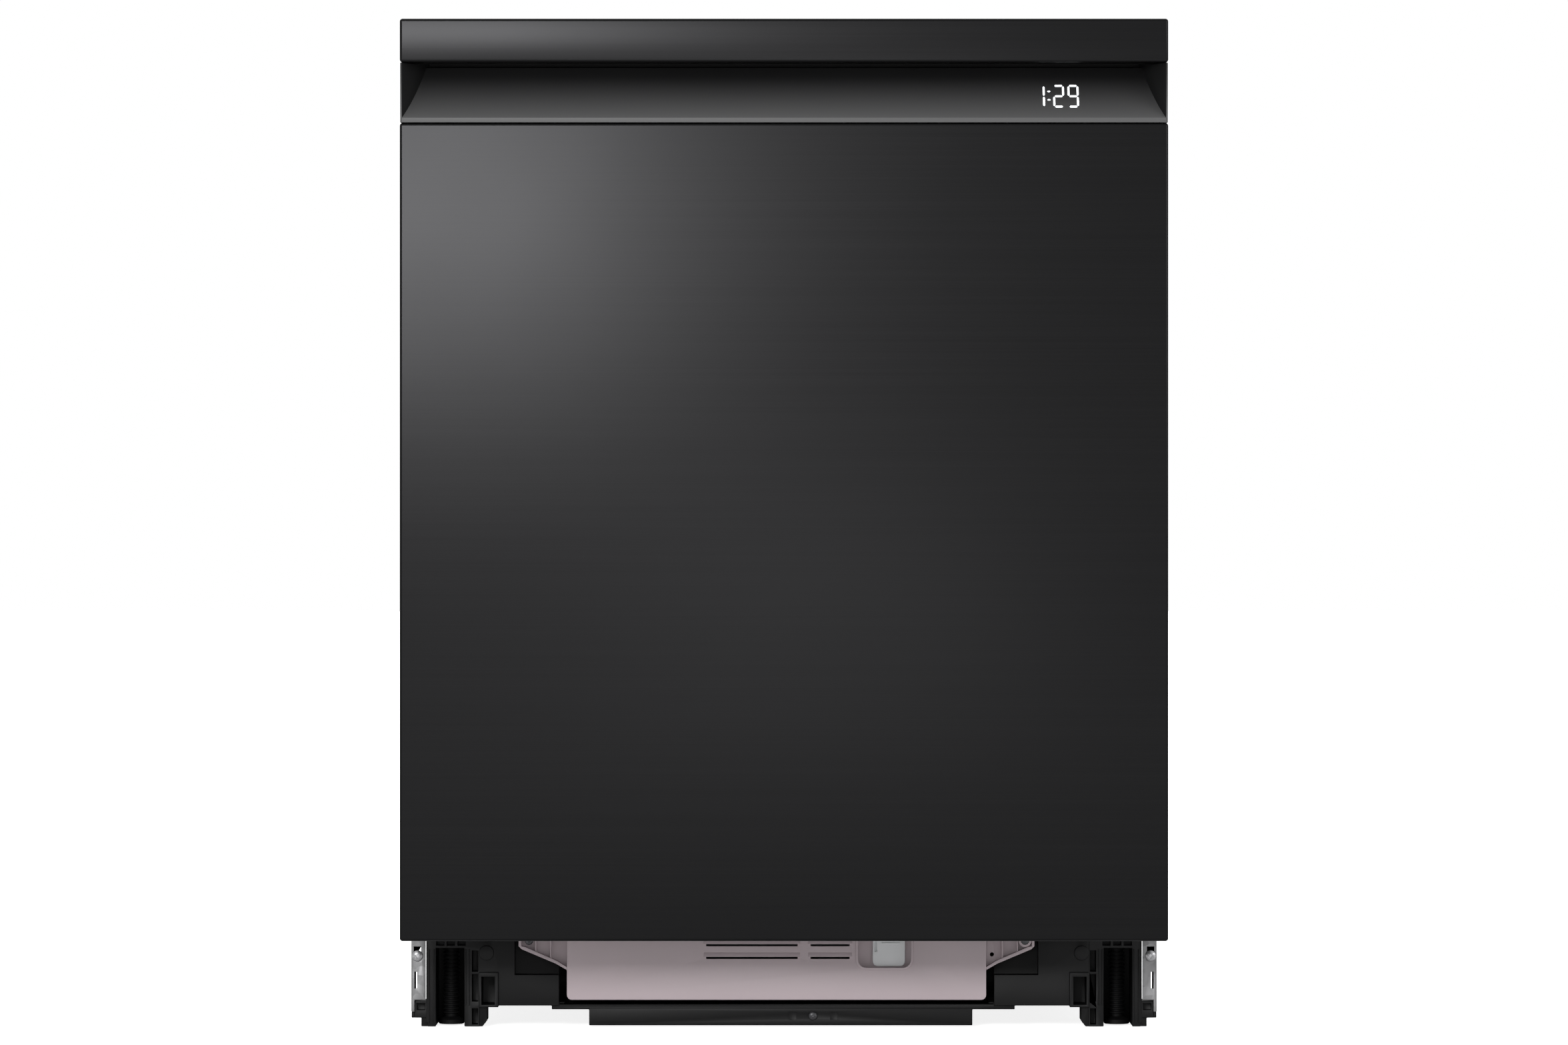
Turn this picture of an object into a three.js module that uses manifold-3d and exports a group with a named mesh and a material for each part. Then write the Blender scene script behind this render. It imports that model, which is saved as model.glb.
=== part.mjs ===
// A 24-inch built-in dishwasher with a recessed door handle, in millimetres, +Z up.
// The origin is on the floor under the middle of the machine. -Y faces the room, +Y the wall behind.
// The door is shut, the racks are in and the levelling feet are wound up into the base.
import * as THREE from "three";
import { mergeVertices } from "three/addons/utils/BufferGeometryUtils.js";
import Module from "manifold-3d";

const wasm = await Module();
wasm.setup();

// ---------------------------------------------------------------- driving dimensions

const doorWidth = 606;
const height = 802; // floor to the top of the door
const depth = 628; // door front to the ends of the hose spigots
const gap = 0.3; // between pieces that touch

const doorOverhang = 4; // door past the body, each side
const doorThickness = 60; // door front to its sealing face
const doorClearance = 74.4; // floor to the lower edge of the door
const toeRecess = 100; // door front to the front of the base
const hingeSetback = 50; // door front to the hinge axis
const hingeHeight = 118; // floor to the hinge axis
const gasketThickness = 5.4;

const tubSideSpace = 21; // body side to the tub, each side
const tubTopSpace = 10;
const tubBackSpace = 29;
const tubUnderside = 140; // floor to the underside of the tub
const tubSheet = 1.2;
const tubFloorCorner = 10; // outer radius of the tub's lower corners, clear of the rack wheels
const tubTopCorner = 34;
const flangeWidth = 12; // the tub's front flange past the opening

const fasciaHeight = 34.4;
const handleHeight = 47.5; // handle moulding between the fascia and the main panel
const panelSeam = 0.5;
const panelSheet = 1;
const panelReturn = 22; // depth of the folded edges of the front panels
const panelBend = 2.5; // outer radius of the folds

const lowerRackFloor = 60.8; // tub floor to the lower rack's wires
const upperLoad = 194; // upper rack floor to the tray above it
const trayDrop = 88.8; // tub ceiling to the tray's wires
const wheelRadius = 19;
const tinePitch = 36;
const tineHeight = 80;
const wire = 3.5;
const footTravelTop = 63; // top of the foot wells

// ---------------------------------------------------------------- layout

const frontY = -depth / 2;
const backY = depth / 2;
const doorHalf = doorWidth / 2;
const bodyHalf = doorHalf - doorOverhang;
const baseFrontY = frontY + toeRecess;
const spigotLength = 12;
const panBackY = backY - spigotLength;
const hingeY = frontY + hingeSetback;
const sealY = frontY + doorThickness;
const flangeY = sealY + gasketThickness + 2 * gap;

const tubHalf = bodyHalf - tubSideSpace;
const tubTop = height - tubTopSpace;
const tubBackY = backY - tubBackSpace;
const innerHalf = tubHalf - tubSheet;
const tubFloor = tubUnderside + tubSheet;
const tubCeiling = tubTop - tubSheet;
const tubRearY = tubBackY - tubSheet;
const centreY = (flangeY + tubBackY) / 2; // the spray arms and the sump share this axis

const fasciaBottom = height - fasciaHeight;
const handleBottom = fasciaBottom - handleHeight;
const panelTop = handleBottom - panelSeam;

const rackFrontY = flangeY + 16;
const rackBackY = tubRearY - 25.8; // clear of the feed tube
const lowerFloorZ = tubFloor + lowerRackFloor;
const trayFloorZ = tubCeiling - trayDrop;
const upperFloorZ = trayFloorZ - upperLoad;

// ---------------------------------------------------------------- finishes

function finish(color, roughness, metalness) {
  return new THREE.MeshStandardMaterial({ color, roughness, metalness });
}

const blackSteel = finish(0x2b2b2d, 0.38, 0.7);
const blackPlastic = finish(0x141415, 0.6, 0);
const glossBlack = finish(0x0c0c0e, 0.12, 0);
const handlePlastic = finish(0x1c1c1e, 0.42, 0);
const stainless = finish(0xc4c6c8, 0.28, 1);
const zincSteel = finish(0x9b9da0, 0.45, 1);
const mauvePlastic = finish(0xb0a4a8, 0.55, 0);
const greyPlastic = finish(0x8d9196, 0.5, 0);
const paleGrey = finish(0xc9cbcd, 0.4, 0.3);
const whitePlastic = finish(0xe2e4e6, 0.5, 0);
const coatedWire = finish(0xb7bbc0, 0.45, 0.1);
const rubber = finish(0x202022, 0.85, 0);
const felt = finish(0x33343a, 0.95, 0);
const bluePlastic = finish(0x3a5f86, 0.5, 0);

// ---------------------------------------------------------------- building blocks

// A closed geometry as a solid that can be joined and cut.
function solid(geometry) {
  for (const name of Object.keys(geometry.attributes)) {
    if (name !== "position") geometry.deleteAttribute(name);
  }
  const merged = mergeVertices(geometry, 1e-4);
  const corners = merged.index.array;
  const position = merged.attributes.position;
  const faces = [];
  let volume = 0;
  const a = new THREE.Vector3();
  const b = new THREE.Vector3();
  const c = new THREE.Vector3();
  for (let i = 0; i < corners.length; i += 3) {
    const [p, q, r] = corners.slice(i, i + 3);
    if (p === q || q === r || r === p) continue; // a face that closes on the axis of a turned shape
    faces.push([p, q, r]);
    a.fromBufferAttribute(position, p);
    b.fromBufferAttribute(position, q);
    c.fromBufferAttribute(position, r);
    volume += a.dot(b.cross(c));
  }
  const triVerts = new Uint32Array(faces.flatMap((f) => (volume > 0 ? f : [...f].reverse())));
  const vertProperties = position.array;
  return new wasm.Manifold(new wasm.Mesh({ numProp: 3, vertProperties, triVerts }));
}

// Joins any number of solids.
function join(...solids) {
  return solids.flat().reduce((whole, next) => whole.add(next));
}

function cut(whole, ...tools) {
  return tools.flat().reduce((left, tool) => left.subtract(tool), whole);
}

// A block between two values along each axis, given in either order.
function block([x0, x1], [y0, y1], [z0, z1]) {
  const g = new THREE.BoxGeometry(Math.abs(x1 - x0), Math.abs(y1 - y0), Math.abs(z1 - z0));
  g.translate((x0 + x1) / 2, (y0 + y1) / 2, (z0 + z1) / 2);
  return solid(g);
}

// A round bar along one axis. At gives the two other coordinates in x, y, z order.
function bar(axis, radius, [from, to], at, sides = 16) {
  const g = new THREE.CylinderGeometry(radius, radius, Math.abs(to - from), sides);
  const middle = (from + to) / 2;
  if (axis === "x") g.rotateZ(Math.PI / 2).translate(middle, at[0], at[1]);
  if (axis === "y") g.translate(at[0], middle, at[1]);
  if (axis === "z") g.rotateX(Math.PI / 2).translate(at[0], at[1], middle);
  return solid(g);
}

// Extrudes an outline. Its two coordinates are y, z for axis x; x, z for axis y; x, y for axis z.
function extrude(axis, outline, [from, to], curveSegments = 3) {
  const g = new THREE.ExtrudeGeometry(outline, {
    depth: Math.abs(to - from),
    bevelEnabled: false,
    curveSegments,
  });
  const low = Math.min(from, to);
  if (axis === "x") {
    const turn = new THREE.Matrix4().makeBasis(
      new THREE.Vector3(0, 1, 0),
      new THREE.Vector3(0, 0, 1),
      new THREE.Vector3(1, 0, 0),
    );
    g.applyMatrix4(turn).translate(low, 0, 0);
  }
  if (axis === "y") g.rotateX(Math.PI / 2).translate(0, Math.max(from, to), 0);
  if (axis === "z") g.translate(0, 0, low);
  return solid(g);
}

function polygon(points) {
  return new THREE.Shape(points.map(([u, v]) => new THREE.Vector2(u, v)));
}

// A rectangle with rounded corners, which may have another radius at its top.
function roundedRect([u0, u1], [v0, v1], r, top = r) {
  const s = new THREE.Shape();
  s.moveTo(u0 + r, v0);
  s.absarc(u1 - r, v0 + r, r, -Math.PI / 2, 0, false);
  s.absarc(u1 - top, v1 - top, top, 0, Math.PI / 2, false);
  s.absarc(u0 + top, v1 - top, top, Math.PI / 2, Math.PI, false);
  s.absarc(u0 + r, v0 + r, r, Math.PI, Math.PI * 1.5, false);
  return s;
}

// Turns a profile of [radius, z] points about the z axis.
function turned(profile, sides = 24) {
  const points = profile.map(([r, z]) => new THREE.Vector2(r, z));
  return solid(new THREE.LatheGeometry(points, sides).rotateX(Math.PI / 2));
}

// Values spread evenly from first to last, about one pitch apart.
function spread(first, last, pitch) {
  const count = Math.max(1, Math.round((last - first) / pitch));
  return Array.from({ length: count + 1 }, (_, i) => first + ((last - first) * i) / count);
}

const machine = new THREE.Group();

function assembly(parent = machine) {
  const group = new THREE.Group();
  parent.add(group);
  return group;
}

// Puts a solid in the scene graph as a named mesh.
function add(group, name, shape, material) {
  const { vertProperties, triVerts } = shape.getMesh();
  const geometry = new THREE.BufferGeometry();
  geometry.setAttribute("position", new THREE.BufferAttribute(vertProperties, 3));
  geometry.setIndex(new THREE.BufferAttribute(triVerts, 1));
  const mesh = new THREE.Mesh(geometry, material);
  mesh.name = name;
  group.add(mesh);
  return mesh;
}

// Adds a piece for the left side and its mirror image for the right.
function addPair(group, name, shape, material) {
  add(group, name + "_left", shape, material);
  add(group, name + "_right", shape, material).scale.x = -1;
}

// ---------------------------------------------------------------- tub

const cabinet = assembly();
const sumpHole = 108;

function tub() {
  const outer = roundedRect([-tubHalf, tubHalf], [tubUnderside, tubTop], tubFloorCorner, tubTopCorner);
  const inner = roundedRect(
    [-innerHalf, innerHalf],
    [tubFloor, tubCeiling],
    tubFloorCorner - tubSheet,
    tubTopCorner - tubSheet,
  );
  const flangeHalf = tubHalf + flangeWidth;
  const flange = roundedRect(
    [-flangeHalf, flangeHalf],
    [tubUnderside - 9, tubTop + 8.8],
    tubFloorCorner + 8,
    tubTopCorner + 4,
  );
  const shell = join(
    extrude("y", outer, [flangeY, tubBackY]),
    extrude("y", flange, [flangeY, flangeY + tubSheet]),
  );
  return cut(
    shell,
    extrude("y", inner, [flangeY - 1, tubRearY]),
    bar("z", sumpHole, [tubUnderside - 1, tubFloor + 1], [0, centreY], 32),
  );
}

// The seal sits on the tub's flange, all round the opening.
function gasket() {
  const reach = tubHalf + 9;
  const outer = roundedRect(
    [-reach, reach],
    [tubUnderside - 8, tubTop + 8],
    tubFloorCorner + 7,
    tubTopCorner + 3,
  );
  const start = tubHalf + 1;
  const inner = roundedRect(
    [-start, start],
    [tubUnderside - gap, tubTop + gap],
    tubFloorCorner,
    tubTopCorner,
  );
  const span = [sealY + gap, flangeY - gap];
  return cut(extrude("y", outer, span), extrude("y", inner, [span[0] - 1, span[1] + 1]));
}

const blanketFrontY = baseFrontY + 49;
const blanketHalf = bodyHalf - 4;

function soundBlanket() {
  const outer = block(
    [-blanketHalf, blanketHalf],
    [blanketFrontY, tubBackY + 11],
    [tubUnderside, tubTop + 7.5],
  );
  const space = 0.4;
  const inner = block(
    [-tubHalf - space, tubHalf + space],
    [blanketFrontY - 1, tubBackY + space],
    [tubUnderside - 1, tubTop + space],
  );
  return cut(outer, inner);
}

// A stepped plate on top of the tub: its foot is fixed to the tub and its raised end screws to the
// worktop above.
function counterBracket() {
  const x = [-tubHalf + 60, -tubHalf + 100];
  const middle = (x[0] + x[1]) / 2;
  const sheet = 1.6;
  const footZ = tubTop + gap;
  const topZ = height - 1.2;
  const riserY = flangeY + 24;
  return cut(
    join(
      block(x, [riserY, riserY + 26], [footZ, footZ + sheet]),
      block(x, [riserY, riserY + sheet], [footZ, topZ]),
      block(x, [flangeY + 4, riserY + sheet], [topZ - sheet, topZ]),
    ),
    bar("z", 3, [topZ - sheet - 1, topZ + 1], [middle, flangeY + 11], 12),
  );
}

// A steel hook under the tub's ceiling that the door latch closes on.
const strikeHeight = tubCeiling - 21.8;
const strikeHalf = 5;

function latchStrike() {
  const top = tubCeiling - gap;
  const stemY = flangeY + 5;
  return join(
    block([-15, 15], [flangeY + 2, flangeY + 48], [top - 2, top]),
    block([-strikeHalf, strikeHalf], [flangeY + 2, stemY], [strikeHeight - 2, top]),
    block([-strikeHalf, strikeHalf], [sealY - 9, stemY], [strikeHeight - 2, strikeHeight + 2]),
  );
}

add(cabinet, "tub", tub(), stainless);
add(cabinet, "door_gasket", gasket(), rubber);
add(cabinet, "sound_blanket", soundBlanket(), felt);
addPair(cabinet, "counter_bracket", counterBracket(), zincSteel);
add(cabinet, "latch_strike", latchStrike(), zincSteel);

// ---------------------------------------------------------------- base

// Distances across the base, measured inwards from the side of the body.
function fromSide(side, ...distances) {
  return distances.map((d) => side * (bodyHalf - d));
}

const wellDepth = 54;
const channelDepth = 46;
const footInset = 31; // body side to a front foot
const footSetback = 24; // front of the base to a front foot
const footBore = 6.4;
const wellTop = 108;
const panWallInset = 13;
const wallSheet = 2.5;
const floorLow = 13.7;
const floorHigh = 16.7;
const panWallTop = tubUnderside - gap;
const coverCentre = -6; // the service cover sits a little left of the middle
const coverHalf = bodyHalf - 130.8;
const armHalf = bodyHalf - 92;
const coverBottom = 21.5;
const openingHalf = coverHalf + 6.5;
const recessHalf = armHalf + 3;
const recessDepth = 12;
const recessFloor = 41.4;
const kickBlockHalf = bodyHalf - 145.2;
const kickBlockCentre = -2.6;
const kickScrewX = 23.2;
const kickScrewZ = 8.6;

// One corner of the base that stands on the floor, and the hollows in it: the open channel for a foot
// and the pockets between its ribs.
function frontWell(side) {
  const y = (d) => baseFrontY + d;
  const across = (...d) => fromSide(side, ...d);
  const headerPockets = [20, 28.5, 37].map((d) => block(across(d, d + 6.5), [y(-1), y(8)], [65, 75]));
  const foot = across(footInset)[0];
  const keel = extrude(
    "y",
    polygon([
      [across(54)[0], 0],
      [across(57)[0], 0],
      [across(60.2)[0], 4],
      [across(60.2)[0], 16.2],
      [across(54)[0], 16.2],
    ]),
    [y(1), y(40)],
  );
  const solids = [
    block(across(12.8, 54.8), [y(0), y(wellDepth)], [0, wellTop]),
    keel,
    block(across(2.2, 13.4), [y(1.5), y(26)], [6.9, 20.5]),
    block(across(0, 13.4), [y(2), y(26)], [6.9, 11.7]),
    block(across(7.8, 13.6), [y(2), y(26)], [0, 7.4]),
    block(across(54.3, 69.8), [y(-3), y(30)], [15.6, 43.5]),
    bar("y", 5.9, [y(-1.5), y(4)], [across(60.2)[0], 59], 20),
  ];
  const hollows = [
    block(across(19.5, 42.5), [y(-1), y(channelDepth)], [-1, footTravelTop]),
    bar("z", footBore, [footTravelTop - 1, 100], [foot, y(footSetback)], 12),
    block(across(48.6, 53.4), [y(-1), y(14)], [44, 61]),
    block(across(48.6, 53.4), [y(-1), y(14)], [20, 42]),
    block(across(48.6, 53.4), [y(-1), y(14)], [1.6, 14.5]),
    block(across(56.3, 66.9), [y(-4), y(26)], [17.6, 40]),
    block(across(4.2, 10.8), [y(0), y(8)], [13.2, 18.6]),
    ...headerPockets,
  ];
  return { solids, hollows };
}

// The wall beside the service cover, set back behind the cover's arms.
function frontWall(side) {
  const y = (d) => baseFrontY + d;
  const opening = coverCentre + side * openingHalf;
  const recess = coverCentre + side * recessHalf;
  const corner = recess + side * wallSheet;
  const wallTop = 130;
  const wellEdge = fromSide(side, 54)[0];
  return join(
    block([opening, wellEdge], [y(0), y(wallSheet)], [floorHigh, recessFloor]),
    block([recess, wellEdge], [y(0), y(wallSheet)], [floorHigh, wallTop]),
    block([recess, corner], [y(0), y(recessDepth + wallSheet)], [recessFloor - 1, wallTop]),
    block([opening, corner], [y(recessDepth), y(recessDepth + wallSheet)], [floorHigh, wallTop]),
    block([opening, corner], [y(0), y(recessDepth + 1)], [recessFloor - wallSheet, recessFloor]),
    block([opening, opening + side * wallSheet], [y(0), y(recessDepth + 1)], [floorHigh, recessFloor]),
  );
}

const rearFootY = panBackY - footSetback;
const rearWellHalf = 24;
const channelHalf = 11.5;

function rearWell() {
  return {
    solids: [block([-rearWellHalf, rearWellHalf], [panBackY - wellDepth, panBackY], [0, wellTop])],
    hollows: [
      block([-channelHalf, channelHalf], [panBackY - channelDepth, panBackY + 1], [-1, footTravelTop]),
      bar("z", footBore, [footTravelTop - 1, 100], [0, rearFootY], 12),
    ],
  };
}

const inletX = -tubHalf + 48;
const inletZ = 72;
const drainX = tubHalf - 78;
const drainZ = 66;
const spigotBore = 15;

function basePan() {
  const wallX = bodyHalf - panWallInset;
  const kickX = [kickBlockCentre - kickBlockHalf, kickBlockCentre + kickBlockHalf];
  const stepX = [kickX[0] - 30, kickX[1] + 34];
  const boxX = [coverCentre - coverHalf - 2, coverCentre + coverHalf + 2];
  const tray = cut(
    block([-wallX, wallX], [baseFrontY + 1, panBackY], [floorHigh, panWallTop]),
    block(
      [-wallX + wallSheet, wallX - wallSheet],
      [baseFrontY, panBackY - wallSheet],
      [floorHigh + wallSheet, panWallTop + 1],
    ),
  );
  const wells = [frontWell(-1), frontWell(1), rearWell()];
  const skids = [-1, 1].map((side) =>
    block([side * (wallX - 0.5), side * (wallX - 42)], [panBackY - 60, panBackY - 0.5], [0, floorHigh + 1]),
  );
  const whole = join(
    tray,
    block(stepX, [baseFrontY + 0.5, baseFrontY + 90], [floorLow, floorHigh + 0.5]),
    block(kickX, [baseFrontY, baseFrontY + 24], [0.9, floorLow + 1]),
    [-1, 1].map(frontWall),
    skids,
    wells.flatMap((well) => well.solids),
  );
  return cut(
    whole,
    wells.flatMap((well) => well.hollows),
    // the service cover's box passes over the front edge of the floor
    block(boxX, [baseFrontY - 1, baseFrontY + 45], [floorHigh + 0.7, floorHigh + wallSheet + 1]),
    bar("y", spigotBore, [panBackY - 5, panBackY + 5], [inletX, inletZ], 20),
    bar("y", spigotBore, [panBackY - 5, panBackY + 5], [drainX, drainZ], 20),
    bar("y", 2.1, [baseFrontY - 1, baseFrontY + 15], [kickScrewX, kickScrewZ], 12),
  );
}

const postFrontY = baseFrontY - 2;
const earInset = [2.5, 5]; // hinge ear, from the body side
const hingePinRadius = 4;
const hingeBore = 4.4;
const bracketScrewZ = 56.9;
const bracketScrewInset = 4.9;

// Steel corner post: a folded strip from the base to the top, with the ear and pin of the door hinge.
function sidePost() {
  const across = (...d) => fromSide(-1, ...d);
  const bottom = 12;
  const top = height - 6;
  const fold = 1.5;
  const face = [postFrontY, postFrontY + fold];
  const pinEnd = 10;
  const strip = join(
    block(across(0, fold), [postFrontY, postFrontY + 46], [bottom, top]),
    block(across(0, 11.5), face, [bottom, top]),
    block(across(...earInset), [hingeY, postFrontY + 1], [hingeHeight - 17, hingeHeight + 14]),
    bar("x", 14, across(...earInset), [hingeY, hingeHeight], 24),
    bar("x", hingePinRadius, across(0.5, pinEnd), [hingeY, hingeHeight], 16),
    bar("x", 7, across(0.5, earInset[0] + 0.2), [hingeY, hingeHeight], 16),
  );
  const slot = across(bracketScrewInset - 2.9, bracketScrewInset + 2.9);
  return cut(
    strip,
    block(across(2.5, 12), [face[0] - 1, face[1] + 1], [bottom - 1, 21.5]),
    block(across(2.5, 4.7), [face[0] - 1, face[1] + 1], [30.6, 44]),
    block(slot, [face[0] - 1, face[1] + 1], [bracketScrewZ - 3, bracketScrewZ + 7.4]),
  );
}

// A pan-head screw along y, its head to the front.
function screw(headRadius, shankRadius, length) {
  const headHeight = headRadius * 0.55;
  const head = turned([
    [0, 0],
    [headRadius, 0],
    [headRadius * 0.7, headHeight],
    [0, headHeight],
  ], 12);
  const cross = [0, 1].map((i) => {
    const [u, v] = i ? [headRadius * 0.6, headRadius * 0.12] : [headRadius * 0.12, headRadius * 0.6];
    return block([-u, u], [-v, v], [headHeight * 0.4, headHeight + 1]);
  });
  return join(cut(head, cross), bar("z", shankRadius, [-length, 0.2], [0, 0], 8));
}

function addScrew(name, shape, x, y, z) {
  const mesh = add(cabinet, name, shape, zincSteel);
  mesh.rotation.x = Math.PI / 2;
  mesh.position.set(x, y, z);
}

add(cabinet, "base_pan", basePan(), blackPlastic);
addPair(cabinet, "side_post", sidePost(), zincSteel);
const bracketScrew = screw(4.45, 2, 6);
for (const [side, name] of [[-1, "left"], [1, "right"]]) {
  const x = fromSide(side, bracketScrewInset)[0];
  addScrew("bracket_screw_" + name, bracketScrew, x, postFrontY - gap, bracketScrewZ);
}
addScrew("kick_plate_screw", screw(3.7, 1.8, 10), kickScrewX, baseFrontY - gap, kickScrewZ);

// ---------------------------------------------------------------- service cover

const coverFrontY = baseFrontY - 2.5;
const coverTop = 116;
const coverSheet = 2.5;
const coverDepth = 42;
const ventPitch = 10.2;
const ventHeight = 1.8;
const ventBottom = 54.4;
const ventRows = 4;
const latchX = [coverCentre + coverHalf - 91, coverCentre + coverHalf - 65];
const latchBottom = 48.2;
const latchRecess = 8;

// The ribbed arm beside the cover's box, drawn in by an inset so that its rim can be cut.
function armOutline(side, inset) {
  const x = (d) => coverCentre + side * d;
  return polygon([
    [x(coverHalf - 4), coverTop - inset],
    [x(armHalf - inset), coverTop - inset],
    [x(armHalf - inset), 64.5],
    [x(armHalf - 2.5 - inset), 62 + inset],
    [x(coverHalf + 9 - inset * 0.5), 50.5 + inset],
    [x(coverHalf - 4), 43 + inset],
  ]);
}

function coverArm(side) {
  const y = (d) => baseFrontY + d;
  const whole = extrude("y", armOutline(side, 0), [y(-1), y(8)]);
  const tray = cut(whole, extrude("y", armOutline(side, 2.2), [y(-2), y(5.8)]));
  const ribs = [13, 25].map((d) => {
    const x = coverCentre + side * (coverHalf + d);
    return block([x - 0.7, x + 0.7], [y(0.5), y(7)], [40, coverTop - 1]).intersect(whole);
  });
  return join(tray, ribs);
}

function serviceCover() {
  const x = [coverCentre - coverHalf, coverCentre + coverHalf];
  const outline = roundedRect(x, [coverBottom, coverTop], 4);
  const [s, back] = [coverSheet, coverFrontY + coverDepth];
  const inner = roundedRect([x[0] + s, x[1] - s], [coverBottom + s, coverTop - s], 2);
  const slots = [];
  const longSlot = [coverCentre - 56.4, coverCentre + 16.9];
  const shortSlot = [longSlot[1] + 10.5, longSlot[1] + 41.7];
  for (let row = 0; row < ventRows; row++) {
    const z = [ventBottom + row * ventPitch, ventBottom + row * ventPitch + ventHeight];
    for (const span of [longSlot, shortSlot]) slots.push(block(span, [coverFrontY - 1, coverFrontY + 4], z));
  }
  const pocketX = [latchX[0] - 11.8, latchX[1] + 5];
  const pocket = roundedRect(pocketX, [latchBottom - 1, 98], 6);
  const pocketBack = roundedRect([pocketX[0] - s, pocketX[1] + s], [latchBottom - 3.5, 100.5], 8);
  const box = cut(
    extrude("y", outline, [coverFrontY, back]),
    extrude("y", inner, [coverFrontY + s, back + 1]),
    slots,
  );
  const pocketWall = extrude("y", pocketBack, [coverFrontY + 1, coverFrontY + latchRecess + s]);
  return cut(
    join(box, pocketWall, coverArm(-1), coverArm(1)),
    extrude("y", pocket, [coverFrontY - 1, coverFrontY + latchRecess]),
  );
}

function coverLatch() {
  const plate = roundedRect(latchX, [latchBottom, 90], 4);
  const deep = coverFrontY + latchRecess - gap;
  return cut(
    extrude("y", plate, [deep - 3.4, deep]),
    block([latchX[0] + 1.6, latchX[0] + 3.4], [deep - 4, deep - 1.4], [60, 68]),
  );
}

add(cabinet, "service_cover", serviceCover(), mauvePlastic);
add(cabinet, "cover_latch", coverLatch(), paleGrey);

// ---------------------------------------------------------------- water parts under the tub

const sumpRadius = 104;
const sumpBottom = 42;
const hubColumn = 9;
const armHubZ = tubFloor + 8.8; // underside of the lower spray arm's hub
const lowerArmZ = tubFloor + 19;

function sump() {
  const top = tubUnderside - gap;
  const s = 3;
  return turned([
    [0, sumpBottom],
    [sumpRadius - 22, sumpBottom],
    [sumpRadius, sumpBottom + 24],
    [sumpRadius, top - s],
    [sumpHole + 9, top - s],
    [sumpHole + 9, top],
    [sumpRadius - s, top],
    [sumpRadius - s, sumpBottom + 26],
    [sumpRadius - 24, sumpBottom + s],
    [hubColumn, sumpBottom + s],
    [hubColumn, lowerArmZ + 1],
    [0, lowerArmZ + 1],
  ], 28);
}

const filterOffset = 41;
const filterRadius = 31;
const filterZ = tubUnderside - 4; // the flat filter's top face

function flatFilter() {
  const rim = sumpRadius - 3.6;
  const thick = 2;
  const dish = turned([
    [0, filterZ - thick],
    [rim, filterZ - thick],
    [rim, filterZ + 2.4],
    [rim - 3, filterZ + 2.4],
    [rim - 5, filterZ],
    [0, filterZ],
  ], 28);
  return cut(
    dish,
    bar("z", hubColumn + 3, [filterZ - 9, filterZ + 9], [0, 0], 16),
    bar("z", filterRadius + 1, [filterZ - 9, filterZ + 9], [filterOffset, -filterOffset], 24),
  );
}

// A cup of fine mesh with a bar handle across its mouth.
function cylinderFilter() {
  const lift = gap;
  const rim = filterRadius + 5;
  const cup = turned([
    [0, filterZ - 56],
    [filterRadius, filterZ - 56],
    [filterRadius, filterZ + lift],
    [rim, filterZ + lift],
    [rim, filterZ + lift + 3],
    [filterRadius - 3, filterZ + lift + 3],
    [filterRadius - 3, filterZ - 53],
    [0, filterZ - 53],
  ], 24);
  const grip = block([-rim + 3, rim - 3], [-3, 3], [filterZ + 1, filterZ + 12]);
  return join(cup, grip);
}

function washPump() {
  const at = [0, 75];
  return join(
    bar("x", 46, [-sumpRadius - 8, -sumpRadius - 46], at, 24),
    bar("x", 38, [-sumpRadius - 45, -sumpRadius - 118], at, 20),
    bar("x", 14, [-sumpRadius + 1, -sumpRadius - 10], at, 14),
    bar("z", 12, [75, 112], [-sumpRadius - 30, 34], 12),
  );
}

function drainPump() {
  return join(
    bar("x", 26, [sumpRadius + 6, sumpRadius + 38], [58, 60], 20),
    bar("x", 20, [sumpRadius + 37, sumpRadius + 84], [58, 60], 16),
    bar("x", 8, [sumpRadius - 4, sumpRadius + 7], [58, 60], 12),
    bar("y", 9, [58, 110], [sumpRadius + 22, 74], 12),
  );
}

// The parts that stand on the spray axis are drawn about it and moved there as one group.
const waterWorks = assembly(cabinet);
waterWorks.position.y = centreY;
add(waterWorks, "sump", sump(), greyPlastic);
add(waterWorks, "flat_filter", flatFilter(), stainless);
const sumpSpace = bar("z", sumpRadius + gap, [0, 200], [0, 0], 32);
add(waterWorks, "wash_pump", cut(washPump(), sumpSpace), whitePlastic);
add(waterWorks, "drain_pump", cut(drainPump(), sumpSpace), greyPlastic);
const filterCup = add(waterWorks, "cylinder_filter", cylinderFilter(), greyPlastic);
filterCup.position.set(filterOffset, -filterOffset, 0);

function spigot(x, z, radius) {
  return bar("y", radius, [panBackY - 20, backY], [x, z], 16);
}

function inletValve() {
  const y = [panBackY - 66, panBackY - 18];
  return join(
    block([inletX - 18, inletX + 18], y, [inletZ - 20, inletZ + 26]),
    bar("z", 12, [inletZ + 25, inletZ + 44], [inletX, (y[0] + y[1]) / 2], 16),
    spigot(inletX, inletZ, 13),
  );
}

function drainSpigot() {
  const ribs = [0, 4.2, 8.4].map((d) => bar("y", 11.6, [backY - d, backY - d - 2], [drainX, drainZ], 16));
  const plate = block([drainX - 16, drainX + 16], [panBackY - 26, panBackY - 18], [46, 86]);
  return join(spigot(drainX, drainZ, 10), plate, ribs);
}

add(cabinet, "inlet_valve", inletValve(), whitePlastic);
add(cabinet, "drain_spigot", drainSpigot(), greyPlastic);

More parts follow.
